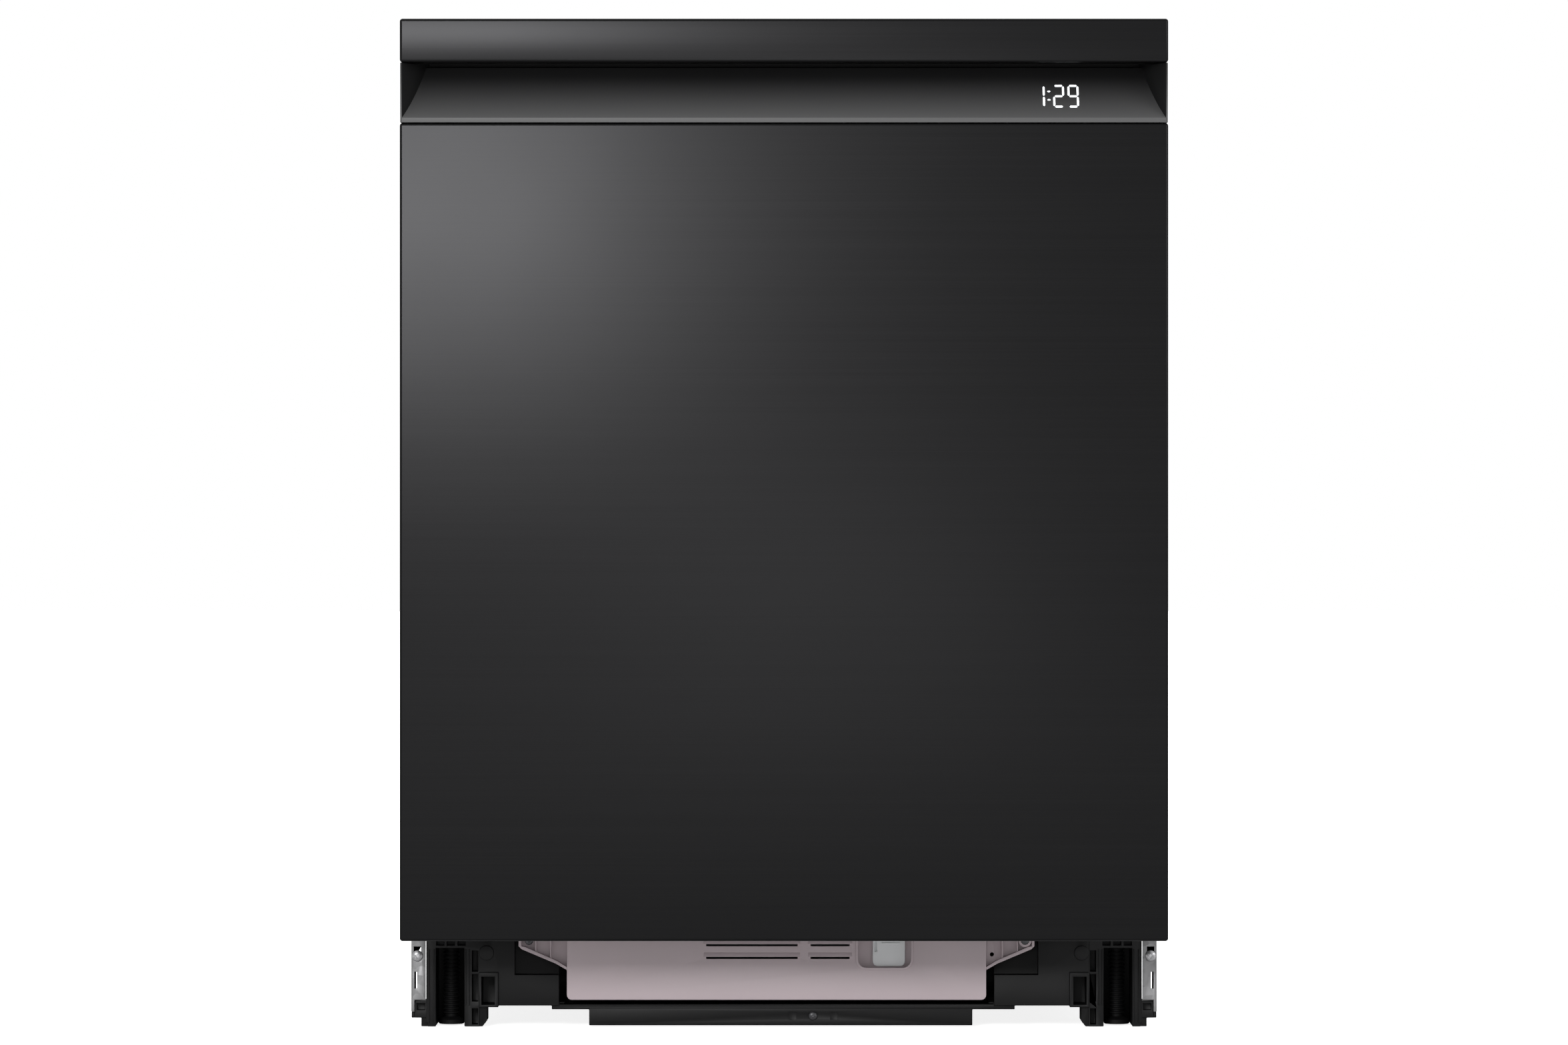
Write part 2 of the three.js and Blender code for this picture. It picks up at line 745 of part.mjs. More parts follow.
// A close-wound spring shown by its outline, its turns standing as ridges.
function balanceSpring() {
  const turns = 7;
  const pitch = 18;
  const profile = [[0, 0]];
  for (let i = 0; i < turns; i++) {
    profile.push([7.4, i * pitch], [9, (i + 0.5) * pitch]);
  }
  profile.push([7.4, turns * pitch], [0, turns * pitch]);
  return turned(profile, 8);
}

const springShape = balanceSpring();
for (const [side, name] of [[-1, "left"], [1, "right"]]) {
  const spring = add(cabinet, "balance_spring_" + name, springShape, zincSteel);
  spring.rotation.x = -Math.PI / 2;
  spring.position.set(fromSide(side, 30)[0], baseFrontY + 80, 84);
}

// ---------------------------------------------------------------- levelling feet

function foot() {
  const pad = turned([[0, 0.8], [9.4, 0.8], [10.8, 2.2], [10.8, 5], [0, 5]], 20);
  return join(pad, bar("z", 8.4, [4.8, 12], [0, 0], 6), bar("z", 6, [11, 96], [0, 0], 12));
}

const footShape = foot();
const feet = [
  ["foot_front_left", -bodyHalf + footInset, baseFrontY + footSetback],
  ["foot_front_right", bodyHalf - footInset, baseFrontY + footSetback],
  ["foot_rear", 0, rearFootY],
];
for (const [name, x, y] of feet) {
  add(cabinet, name, footShape, blackPlastic).position.set(x, y, 0);
}

// ---------------------------------------------------------------- spray arms and their feed

// A flat two-bladed arm with swept tips, lying from z 0 upwards.
function sprayBlade(reach, rootWidth, thickness) {
  const side = [];
  const steps = 8;
  for (let i = 0; i <= steps; i++) {
    const t = i / steps;
    const sweep = 10 * Math.sin(t * Math.PI);
    const half = (rootWidth / 2) * (1 - 0.3 * t) * Math.sqrt(Math.max(0, 1 - t ** 8));
    side.push([t * reach, sweep, half]);
  }
  const ahead = side.map(([x, s, h]) => [x, s + h]);
  const behind = side.slice(1, -1).reverse().map(([x, s, h]) => [x, s - h]);
  const turn = ([x, y]) => [-x, -y];
  const outline = polygon([...ahead, ...behind, ...ahead.map(turn), ...behind.map(turn)]);
  return extrude("z", outline, [0, thickness]);
}

const spareReach = Math.min(innerHalf, (tubRearY - flangeY) / 2);
const lowerReach = spareReach - 34;
const middleReach = spareReach - 50;
const topReach = spareReach - 88;
const stubRadius = 8;

function lowerArm() {
  const blade = sprayBlade(lowerReach, 50, 12);
  const hub = bar("z", 20, [armHubZ - lowerArmZ, 16], [0, 0], 20);
  return cut(join(blade, hub), bar("z", hubColumn + 0.4, [-20, 4], [0, 0], 16));
}

// An arm that hangs from a stub above it.
function hangingArm(reach) {
  const blade = sprayBlade(reach, 44, 11);
  return cut(join(blade, bar("z", 15, [0, 17], [0, 0], 16)), bar("z", stubRadius + 0.4, [4, 20], [0, 0], 16));
}

const armDrop = 17 + gap; // from a feed's underside to the foot of the arm below it
const ceilingFeedZ = tubCeiling - 10.8;
const rackFeedZ = upperFloorZ - 15;

const lowerSpray = add(cabinet, "lower_spray_arm", lowerArm(), greyPlastic);
lowerSpray.position.set(0, centreY, lowerArmZ);
const topSpray = add(cabinet, "top_spray_arm", hangingArm(topReach), greyPlastic);
topSpray.position.set(0, centreY, ceilingFeedZ - armDrop);

const feedDepth = 15.5;
const portLength = 6;

// The duct up the back of the tub and along its ceiling, with a port for the upper rack's arm.
function feedTube() {
  const y = [tubRearY - gap - feedDepth, tubRearY - gap];
  const port = block([-13, 13], [y[0] - portLength, y[0] + 1], [rackFeedZ - 1, rackFeedZ + 10]);
  return join(
    extrude("z", roundedRect([-24, 24], y, 5), [tubFloor + gap, ceilingFeedZ + 9]),
    block([-20, 20], [centreY - 14, y[1]], [ceilingFeedZ, ceilingFeedZ + 9]),
    bar("z", stubRadius, [ceilingFeedZ - 12, ceilingFeedZ + 1], [0, centreY], 16),
    port,
  );
}

add(cabinet, "feed_tube", feedTube(), greyPlastic);

// ---------------------------------------------------------------- racks

const rackHalf = innerHalf - 24.8;
const rim = 6;
const floorFrame = 5;
const floorWire = 4;

// A basket of welded wire: a floor of crossing wires, a rim, and posts between them.
function wireBasket({ half, y, floorZ, rimZ, crossY, alongX, postPitch }) {
  const loop = (z, thick) => {
    const t = thick / 2;
    const outer = block([-half - t, half + t], [y[0] - t, y[1] + t], [z - t, z + t]);
    return cut(outer, block([-half + t, half - t], [y[0] + t, y[1] - t], [z - t - 1, z + t + 1]));
  };
  const w = wire / 2;
  const posts = [];
  for (const x of spread(-half, half, postPitch)) {
    for (const end of y) posts.push(block([x - w, x + w], [end - w, end + w], [floorZ, rimZ]));
  }
  for (const at of spread(y[0], y[1], postPitch).slice(1, -1)) {
    for (const x of [-half, half]) posts.push(block([x - w, x + w], [at - w, at + w], [floorZ, rimZ]));
  }
  const f = floorWire / 2;
  const across = crossY.map((at) => block([-half, half], [at - f, at + f], [floorZ - 4, floorZ - 0.4]));
  const along = alongX.map((at) => block([at - f, at + f], y, [floorZ - 1.2, floorZ + 2.2]));
  return join(loop(rimZ, rim), loop(floorZ, floorFrame), posts, across, along);
}

// lower rack

const lowerRack = assembly();
const rackY = [rackFrontY, rackBackY];
const lowerRimZ = lowerFloorZ + 118;
const firstTineY = rackFrontY + 38;
const tineCount = Math.floor((rackBackY - 40 - firstTineY) / tinePitch) + 1;
const tineYs = Array.from({ length: tineCount }, (_, i) => firstTineY + i * tinePitch);
const betweenTines = tineYs.slice(0, -1).map((at) => at + tinePitch / 2);
const clipYs = [betweenTines[0], betweenTines[betweenTines.length - 1]];
const basketWidth = 72;
const basketX = [rackHalf - 6 - basketWidth, rackHalf - 6];
const rowPitch = (basketX[0] - 62 + rackHalf - 62) / 3;
const rowXs = [0, 1, 2, 3].map((i) => -rackHalf + 62 + i * rowPitch);
const foldingXs = rowXs.slice(1, 3);
const rodZ = lowerFloorZ + 7;
const rodRadius = 2.2;
const wheelX = rackHalf + 10;
const wheelZ = tubFloor + 0.5 + wheelRadius;
const wheelYs = [rackFrontY + 82, rackBackY - 68];
const axleRadius = 3;

function tines(x, fromZ, height) {
  const w = wire / 2;
  return tineYs.map((y) => block([x - w, x + w], [y - w, y + w], [fromZ, fromZ + height]));
}

function lowerRackFrame() {
  const basket = wireBasket({
    half: rackHalf,
    y: rackY,
    floorZ: lowerFloorZ,
    rimZ: lowerRimZ,
    crossY: [...clipYs, centreY - 6],
    alongX: [(rowXs[0] + rowXs[1]) / 2 + 12, rowXs[1] + rowPitch / 2, rowXs[3] + rowPitch * 0.7],
    postPitch: 126,
  });
  const clips = foldingXs.flatMap((x) =>
    clipYs.map((y) => block([x - 5, x + 5], [y - 3, y + 3], [lowerFloorZ - 3, rodZ + 5])),
  );
  const hangers = [-1, 1].flatMap((side) =>
    wheelYs.flatMap((y) => [
      block([side * (rackHalf - 3), side * (rackHalf + 3)], [y - 8, y + 8], [wheelZ - 7, lowerFloorZ + 2]),
      bar("x", axleRadius, [side * rackHalf, side * (wheelX + 5.5)], [y, wheelZ], 12),
    ]),
  );
  const bores = foldingXs.map((x) => bar("y", rodRadius + 0.5, rackY, [x, rodZ], 10));
  return join(cut(join(basket, clips), bores), hangers);
}

// A row of plate tines on a wire that lies across the rack's floor, between the front and back frames.
function fixedTineRow(x) {
  const w = floorWire / 2;
  const inside = floorFrame / 2 + gap;
  const y = [rackY[0] + inside, rackY[1] - inside];
  const rod = block([x - w, x + w], y, [lowerFloorZ, lowerFloorZ + floorWire]);
  return join(rod, tines(x, lowerFloorZ + 1, tineHeight));
}

// A row of plate tines on a rod that turns in two clips, drawn about the rod.
function tineRow() {
  const rod = bar("y", rodRadius, [tineYs[0] - 6, tineYs[tineCount - 1] + 6], [0, 0], 8);
  return join(rod, tines(0, 0, tineHeight));
}

// Open-topped basket for cutlery, with cells in a row.
const basketY = [rackFrontY + 100, rackFrontY + 340];
const basketHeight = 113;
const basketWall = 2.2;
const cells = 4;
const cellLength = (basketY[1] - basketY[0] - basketWall) / cells;

function cutleryBasket() {
  const z = [lowerFloorZ + 2.5 + gap, lowerFloorZ + 2.5 + gap + basketHeight];
  const shell = block(basketX, basketY, z);
  const hollows = Array.from({ length: cells }, (_, i) => {
    const y = basketY[0] + basketWall + i * cellLength;
    return block(
      [basketX[0] + basketWall, basketX[1] - basketWall],
      [y, y + cellLength - basketWall],
      [z[0] + basketWall, z[1] + 1],
    );
  });
  return cut(shell, hollows);
}

function wheel() {
  const w = 5;
  return cut(
    join(
      bar("x", wheelRadius, [-w, w], [0, 0], 24),
      bar("x", 7, [-w - 0.8, w + 0.8], [0, 0], 12),
    ),
    bar("x", axleRadius + 0.4, [-w - 2, w + 2], [0, 0], 12),
  );
}

add(lowerRack, "lower_rack", lowerRackFrame(), coatedWire);
add(lowerRack, "fixed_tines_left", fixedTineRow(rowXs[0]), coatedWire);
add(lowerRack, "fixed_tines_right", fixedTineRow(rowXs[3]), coatedWire);
foldingXs.forEach((x, i) => {
  add(lowerRack, "tine_row_" + ["left", "right"][i], tineRow(), coatedWire).position.set(x, 0, rodZ);
});
add(lowerRack, "cutlery_basket", cutleryBasket(), greyPlastic);
const wheelShape = wheel();
wheelYs.forEach((y, i) => {
  for (const [side, name] of [[-1, "left"], [1, "right"]]) {
    const mesh = add(lowerRack, "rack_wheel_" + ["front", "rear"][i] + "_" + name, wheelShape, greyPlastic);
    mesh.position.set(side * wheelX, y, wheelZ);
  }
});

// upper rack, on telescoping rails

const upperRack = assembly();
const upperRimZ = upperFloorZ + 92;
const upperHalf = rackHalf - 2;
const upperY = [rackFrontY + 7, rackBackY - 3];
const railZ = upperFloorZ + 41;
const railHeight = 18;
const railThick = 6;
const railInner = innerHalf - gap - railThick;
const sliderThick = 5.5;
const hangerYs = [centreY + 6, rackBackY - 68];

function upperRackFrame() {
  const inset = [-upperHalf + 80, upperHalf - 80];
  const basket = wireBasket({
    half: upperHalf,
    y: upperY,
    floorZ: upperFloorZ,
    rimZ: upperRimZ,
    crossY: spread(upperY[0] + 60, upperY[1] - 60, 180),
    alongX: spread(inset[0], inset[1], 84),
    postPitch: 126,
  });
  const reach = railInner - gap - sliderThick - gap;
  const hangers = [-1, 1].flatMap((side) =>
    hangerYs.map((y) =>
      block([side * (upperHalf - 1.5), side * reach], [y - 18, y + 18], [railZ + 2, upperRimZ]),
    ),
  );
  return join(basket, hangers);
}

// Fixed rail on the tub wall, with a groove that the slider's tongue runs in.
function upperRail() {
  const outer = innerHalf - gap;
  const groove = [railZ + 4, railZ + railHeight - 4];
  return cut(
    block([-outer, -railInner], [upperY[0], upperY[1] + 4], [railZ, railZ + railHeight]),
    block([-railInner - 3, -railInner + 1], [upperY[0] - 1, upperY[1] + 5], groove),
  );
}

function upperSlider() {
  const near = railInner - gap;
  const y = [upperY[0] + 2, upperY[1]];
  return join(
    block([-near, -near + sliderThick], y, [railZ, railZ + railHeight]),
    block([-railInner - 2.6, -near + 1], y, [railZ + 4.4, railZ + railHeight - 4.4]),
  );
}

function rackFeed() {
  const backEnd = tubRearY - gap - feedDepth - portLength - gap;
  return join(
    block([-13, 13], [centreY - 16, backEnd], [rackFeedZ, rackFeedZ + 9]),
    bar("z", stubRadius, [rackFeedZ - 12, rackFeedZ + 1], [0, centreY], 16),
  );
}

add(upperRack, "upper_rack", upperRackFrame(), coatedWire);
add(upperRack, "rack_feed_tube", rackFeed(), greyPlastic);
const middleSpray = add(upperRack, "middle_spray_arm", hangingArm(middleReach), greyPlastic);
middleSpray.position.set(0, centreY, rackFeedZ - armDrop);
addPair(upperRack, "upper_slider", upperSlider(), stainless);
addPair(cabinet, "upper_rail", upperRail(), stainless);

// cutlery tray under the ceiling, on two ledges

const tray = assembly();
const trayRimZ = trayFloorZ + 40;
const runnerZ = trayFloorZ + 14;

function cutleryTray() {
  const frame = wireBasket({
    half: upperHalf,
    y: upperY,
    floorZ: trayFloorZ,
    rimZ: trayRimZ,
    crossY: spread(upperY[0] + 80, upperY[1] - 80, 160),
    alongX: spread(-upperHalf + 72, upperHalf - 72, 90),
    postPitch: 252,
  });
  const runnerY = [upperY[0] + 30, upperY[1] - 20];
  const runners = [-1, 1].map((side) =>
    block([side * (upperHalf - 1.5), side * (upperHalf + 11)], runnerY, [runnerZ, runnerZ + 6]),
  );
  return join(frame, runners);
}

function trayRail() {
  const outer = innerHalf - gap;
  const y = [upperY[0] - 6, upperY[1] + 4];
  return join(
    block([-outer, -outer + 2], y, [runnerZ - 6, runnerZ + 14]),
    block([-outer, -upperHalf - 5], y, [runnerZ - gap - 2.5, runnerZ - gap]),
  );
}

add(tray, "cutlery_tray", cutleryTray(), coatedWire);
addPair(cabinet, "tray_rail", trayRail(), greyPlastic);

// ---------------------------------------------------------------- door

const door = assembly();
const linerHalf = tubHalf + 10;
const linerSheet = 1;
const linerBottom = hingeHeight - 18;
const linerTop = height - 0.5;
const pocketBackY = frontY + 42.5;
const dishY = frontY + 42;
const dishHalf = linerHalf - 38;
const dishZ = [hingeHeight + 47, handleBottom - 20];

// A front panel folded from sheet: skin, two side returns, and flanges along its top and bottom.
function foldedPanel([bottom, top]) {
  const back = frontY + panelReturn;
  const t = panelSheet;
  const outline = new THREE.Shape();
  outline.moveTo(-doorHalf, back);
  outline.absarc(-doorHalf + panelBend, frontY + panelBend, panelBend, Math.PI, Math.PI * 1.5, false);
  outline.absarc(doorHalf - panelBend, frontY + panelBend, panelBend, -Math.PI / 2, 0, false);
  outline.lineTo(doorHalf, back);
  outline.lineTo(-doorHalf, back);
  const space = block([-doorHalf + t, doorHalf - t], [frontY + t, back + 1], [bottom + t, top - t]);
  return cut(extrude("z", outline, [bottom, top]), space);
}

// The moulding between fascia and panel: a ramp that rises to a finger space behind the fascia,
// with side cheeks that draw in towards the back.
const rampBottom = handleBottom + 3.7;
const mouldingFront = frontY + 0.4;

function handlePocket() {
  const t = 2.5;
  const rampTopY = frontY + 31;
  const rampTopZ = handleBottom + 33.9;
  const roof = fasciaBottom + 15.4;
  const back = pocketBackY - t;
  const profile = polygon([
    [mouldingFront, handleBottom],
    [mouldingFront, rampBottom],
    [rampTopY, rampTopZ],
    [rampTopY + 5, rampTopZ + 7],
    [back, rampTopZ + 18],
    [back, roof],
    [frontY + 23.5, roof],
    [frontY + 23.5, roof + t],
    [pocketBackY, roof + t],
    [pocketBackY, rampTopZ + 16.5],
    [rampTopY + 7.5, rampTopZ + 5],
    [mouldingFront + 4, handleBottom],
  ]);
  const side = doorHalf - 0.4;
  const cheeks = [-1, 1].map((s) => {
    const outline = polygon([
      [s * side, mouldingFront],
      [s * (side - 1.4), mouldingFront],
      [s * (side - 22.6), pocketBackY],
      [s * side, pocketBackY],
    ]);
    return extrude("z", outline, [handleBottom, roof + t]);
  });
  const behindFascia = block(
    [-doorHalf - 1, doorHalf + 1],
    [frontY - 1, frontY + panelReturn + gap],
    [fasciaBottom - gap, height],
  );
  return cut(join(extrude("x", profile, [-side, side]), cheeks), behindFascia);
}

const dispenserX = [-92, 72];
const dispenserZ = [hingeHeight + 254, hingeHeight + 390];
const trackX = [linerHalf - 38, linerHalf - 16];
const trackRise = 12.5;

// The stainless inner panel: a pan with a deep dish in its middle and raised tracks for the rack wheels.
function doorLiner() {
  const t = linerSheet;
  const front = frontY + panelReturn + 0.7;
  const pan = cut(
    block([-linerHalf, linerHalf], [front, sealY], [linerBottom, linerTop]),
    block([-linerHalf + t, linerHalf - t], [front - 1, sealY - t], [linerBottom + t, linerTop + 1]),
  );
  const dishOuter = roundedRect([-dishHalf - t, dishHalf + t], [dishZ[0] - t, dishZ[1] + t], 15);
  const dishInner = roundedRect([-dishHalf, dishHalf], dishZ, 14);
  const tracks = [-1, 1].map((side) =>
    block(trackX.map((x) => side * x), [sealY - 0.5, sealY + trackRise], [tubFloor + 10, tubFloor + 300]),
  );
  const dished = cut(
    join(pan, extrude("y", dishOuter, [dishY - t, sealY])),
    extrude("y", dishInner, [dishY, sealY + 1]),
  );
  return cut(
    join(dished, tracks),
    // the sides stand back behind the handle moulding
    block(
      [-linerHalf - 1, linerHalf + 1],
      [front - 1, pocketBackY + gap],
      [handleBottom - gap, linerTop + 1],
    ),
    block(dispenserX, [dishY - 3, dishY + 1], dispenserZ),
    block([-strikeHalf - 6, strikeHalf + 6], [sealY - 3, sealY + 1], [strikeHeight - 8, strikeHeight + 9]),
  );
}

function controlPanel() {
  const half = linerHalf - linerSheet - 0.5;
  const y = [frontY + panelReturn + 0.6, sealY - linerSheet - gap];
  return join(
    block([-half, half], y, [height - 3, height - 0.4]),
    block([-half + 30, half - 30], [pocketBackY + 2, y[1] - 1], [height - 11, height - 2.9]),
  );
}

function doorLatch() {
  const back = sealY - linerSheet - gap;
  return cut(
    block([-28, 28], [pocketBackY + 1, back], [strikeHeight - 24, height - 12]),
    block([-strikeHalf - 5, strikeHalf + 5], [sealY - 11, back + 1], [strikeHeight - 7, strikeHeight + 8]),
  );
}

const lidX = [dispenserX[0] + 17, dispenserX[0] + 90];
const lidZ = [dispenserZ[0] + 18, dispenserZ[0] + 103];
const bezelY = dishY + 4;
const capX = dispenserX[1] - 32;
const capZ = (lidZ[0] + lidZ[1]) / 2;
const capRadius = 20;

function dispenserBody() {
  const inset = 0.4;
  const x = [dispenserX[0] + inset, dispenserX[1] - inset];
  const z = [dispenserZ[0] + inset, dispenserZ[1] - inset];
  const bezel = roundedRect([x[0] - 8, x[1] + 8], [z[0] - 8, z[1] + 8], 12);
  return cut(
    join(
      block(x, [dishY - 16, dishY + 1], z),
      extrude("y", bezel, [dishY + gap, bezelY]),
    ),
    block([lidX[0] + 6, lidX[1] - 6], [dishY - 14, bezelY + 1], [lidZ[0] + 6, lidZ[1] - 6]),
    bar("y", capRadius + 0.6, [dishY - 4, bezelY + 1], [capX, capZ], 24),
  );
}

function dispenserLid() {
  const y = bezelY + gap;
  return join(
    extrude("y", roundedRect(lidX, lidZ, 6), [y, y + 3]),
    block([lidX[0] + 20, lidX[1] - 20], [y + 2, y + 6], [lidZ[1] - 14, lidZ[1] - 10]),
  );
}

function rinseCap() {
  return join(
    bar("y", capRadius, [-7.6, 1.4], [0, 0], 24),
    block([-capRadius + 4, capRadius - 4], [1, 5], [-2.5, 2.5]),
  );
}

function hingeArm() {
  const across = (...d) => fromSide(-1, ...d);
  const x = across(7, 9.5);
  const strap = join(
    block(x, [hingeY - 19, hingeY + 6], [hingeHeight, hingeHeight + 212]),
    bar("x", 11, x, [hingeY, hingeHeight], 20),
  );
  return cut(strap, bar("x", hingeBore, across(6, 11), [hingeY, hingeHeight], 16));
}

add(door, "door_outer_panel", foldedPanel([doorClearance, panelTop]), blackSteel);
add(door, "door_top_fascia", foldedPanel([fasciaBottom, height]), blackSteel);
add(door, "handle_pocket", handlePocket(), handlePlastic);
add(door, "door_liner", doorLiner(), stainless);
add(door, "control_panel", controlPanel(), glossBlack);
add(door, "door_latch", doorLatch(), blackPlastic);
add(door, "dispenser_body", dispenserBody(), greyPlastic);
add(door, "dispenser_lid", dispenserLid(), whitePlastic);
add(door, "rinse_cap", rinseCap(), bluePlastic).position.set(capX, bezelY, capZ);
addPair(door, "hinge_arm", hingeArm(), zincSteel);

export default machine;
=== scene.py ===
"""A built-in dishwasher with a recessed handle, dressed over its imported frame.

The sections take the door's front first, then the base and the body, the tub and its water parts, the
racks, and last the inside of the door.
"""

import math

import bpy
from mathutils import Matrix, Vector


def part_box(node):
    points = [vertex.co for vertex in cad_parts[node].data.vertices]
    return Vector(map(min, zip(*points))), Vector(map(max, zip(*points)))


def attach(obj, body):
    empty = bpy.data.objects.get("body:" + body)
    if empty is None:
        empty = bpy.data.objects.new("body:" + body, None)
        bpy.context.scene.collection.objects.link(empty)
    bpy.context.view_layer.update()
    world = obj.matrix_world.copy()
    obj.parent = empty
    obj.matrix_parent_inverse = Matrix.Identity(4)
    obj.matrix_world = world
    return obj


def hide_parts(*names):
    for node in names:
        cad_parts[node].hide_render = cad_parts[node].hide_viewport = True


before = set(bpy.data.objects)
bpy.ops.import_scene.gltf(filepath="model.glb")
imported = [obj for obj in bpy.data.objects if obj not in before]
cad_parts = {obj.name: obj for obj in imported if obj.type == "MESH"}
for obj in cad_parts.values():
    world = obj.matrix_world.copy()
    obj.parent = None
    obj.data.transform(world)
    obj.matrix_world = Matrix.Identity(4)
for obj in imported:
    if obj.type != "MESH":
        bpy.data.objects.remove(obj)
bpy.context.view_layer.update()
mm = 0.001

# ---------------------------------------------------------------- studio
# A level camera stands 5.5 m in front of the door, about halfway up the machine. A soft lamp high on the
# left makes the sheen on the door, a wide one lights the right side, and a low one reaches in under the
# door. The room is white, with a pale floor.

door_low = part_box("door_outer_panel")[0]
eye_height = 0.4046
eye_distance = 5.5
bpy.ops.object.camera_add(location=(0, door_low.y - eye_distance, eye_height), rotation=(math.pi / 2, 0, 0))
camera = bpy.context.object
camera.data.sensor_width = 36
camera.data.lens = 160.2
camera.data.clip_end = 60
bpy.context.scene.camera = camera


def soft_lamp(name, place, target, size, power):
    """A square area lamp that faces a point."""
    way = Vector(target) - Vector(place)
    bpy.ops.object.light_add(type="AREA", location=place, rotation=way.to_track_quat("-Z", "Y").to_euler())
    lamp = bpy.context.object
    lamp.name = name
    lamp.data.size = size
    lamp.data.energy = power


soft_lamp("key_lamp", (-1.02, -3.6, 1.3), (-0.1, -0.3, 0.5), 0.8, 66)
soft_lamp("side_lamp", (3.4, -2.6, 1.6), (0, 0, 0.4), 1.8, 40)
soft_lamp("low_lamp", (0.1, -4.4, 0.08), (0, -0.2, 0.05), 0.8, 11)

room = bpy.data.worlds.new("white_room")
room.use_nodes = True
sky = room.node_tree.nodes["Background"]
sky.inputs["Strength"].default_value = 0.72
sky.inputs["Color"].default_value = (1, 1, 1, 1)
seen = room.node_tree.nodes.new("ShaderNodeBackground")
seen.inputs["Color"].default_value = (1, 1, 1, 1)
ray = room.node_tree.nodes.new("ShaderNodeLightPath")
blend = room.node_tree.nodes.new("ShaderNodeMixShader")
room.node_tree.links.new(ray.outputs["Is Camera Ray"], blend.inputs["Fac"])
room.node_tree.links.new(sky.outputs["Background"], blend.inputs[1])
room.node_tree.links.new(seen.outputs["Background"], blend.inputs[2])
room.node_tree.links.new(blend.outputs["Shader"], room.node_tree.nodes["World Output"].inputs["Surface"])
bpy.context.scene.world = room
bpy.context.scene.view_settings.view_transform = "Standard"

bpy.ops.mesh.primitive_plane_add(size=40, location=(0, 6, -0.0005))
floor = bpy.context.object
floor.name = "studio_floor"
floor_paint = bpy.data.materials.new("pale_floor")
floor_paint.use_nodes = True
floor_shader = floor_paint.node_tree.nodes["Principled BSDF"]
floor_shader.inputs["Base Color"].default_value = (0.93, 0.93, 0.93, 1)
floor_shader.inputs["Roughness"].default_value = 0.8
floor_shader.inputs["Emission Color"].default_value = (1, 1, 1, 1)
floor_seen = floor_paint.node_tree.nodes.new("ShaderNodeLightPath")
floor_lift = floor_paint.node_tree.nodes.new("ShaderNodeMath")
floor_lift.operation = "MULTIPLY"
floor_lift.inputs[1].default_value = 0.85
floor_paint.node_tree.links.new(floor_seen.outputs["Is Camera Ray"], floor_lift.inputs[0])
floor_paint.node_tree.links.new(floor_lift.outputs["Value"], floor_shader.inputs["Emission Strength"])
floor.data.materials.append(floor_paint)

# ---------------------------------------------------------------- door front
# The main panel and the fascia above the handle are black stainless sheet, folded back along all four sides
# with tight bends and clipped over the inner door. Fine brush lines run across them.


def start_block(name, low, high):
    """A cube primitive between two corners, with its place in its mesh."""
    bpy.ops.object.select_all(action="DESELECT")
    low, high = Vector(low), Vector(high)
    bpy.ops.mesh.primitive_cube_add(size=1, location=(low + high) / 2)
    piece = bpy.context.object
    piece.name = piece.data.name = name
    piece.scale = high - low
    bpy.ops.object.transform_apply(location=True, rotation=True, scale=True)
    return piece


def choose(piece, kind, test):
    """Opens edit mode with the vertices, edges or faces selected whose place and direction pass a test."""
    bpy.ops.object.select_all(action="DESELECT")
    piece.select_set(True)
    bpy.context.view_layer.objects.active = piece
    bpy.ops.object.mode_set(mode="EDIT")
    bpy.ops.mesh.select_mode(type=kind)
    bpy.ops.mesh.select_all(action="DESELECT")
    bpy.ops.object.mode_set(mode="OBJECT")
    mesh = piece.data
    corners = [v.co.copy() for v in mesh.vertices]
    if kind == "VERT":
        for v in mesh.vertices:
            v.select = test(v.co, v.normal)
    if kind == "EDGE":
        for e in mesh.edges:
            a, b = corners[e.vertices[0]], corners[e.vertices[1]]
            e.select = test((a + b) / 2, (b - a).normalized())
    if kind == "FACE":
        for f in mesh.polygons:
            f.select = test(f.center, f.normal)
    bpy.ops.object.mode_set(mode="EDIT")


def done():
    """Leaves edit mode after an edit on the chosen elements."""
    bpy.ops.object.mode_set(mode="OBJECT")


def apply_modifier(piece, kind, **settings):
    """Adds one modifier with its settings and applies it."""
    bpy.ops.object.select_all(action="DESELECT")
    piece.select_set(True)
    bpy.context.view_layer.objects.active = piece
    bpy.ops.object.modifier_add(type=kind)
    modifier = piece.modifiers[-1]
    for key, value in settings.items():
        setattr(modifier, key, value)
    bpy.ops.object.modifier_apply(modifier=modifier.name)


def smooth_curves(angle=38):
    """Shades the active piece smooth wherever its faces meet at less than an angle."""
    bpy.ops.object.shade_smooth_by_angle(angle=math.radians(angle))


def bevel_edges(piece, width, segments=2, angle=40, **settings):
    """Bevels every edge that is sharper than an angle."""
    limit = {"limit_method": "ANGLE", "angle_limit": math.radians(angle)}
    apply_modifier(piece, "BEVEL", width=width, segments=segments, **limit, **settings)


def round_edges(piece, width, segments=2, angle=35):
    """Breaks every sharp edge and smooths the shading of the curves between the flats."""
    bevel_edges(piece, width, segments, angle)
    smooth_curves()


def fit(piece, body, slot, material, *nodes):
    """Gives a finished piece its material and its body, and hides the frame nodes that it stands for. The
    slot is not used.
    """
    piece.data.materials.clear()
    piece.data.materials.append(material)
    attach(piece, body)
    if nodes:
        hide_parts(*nodes)


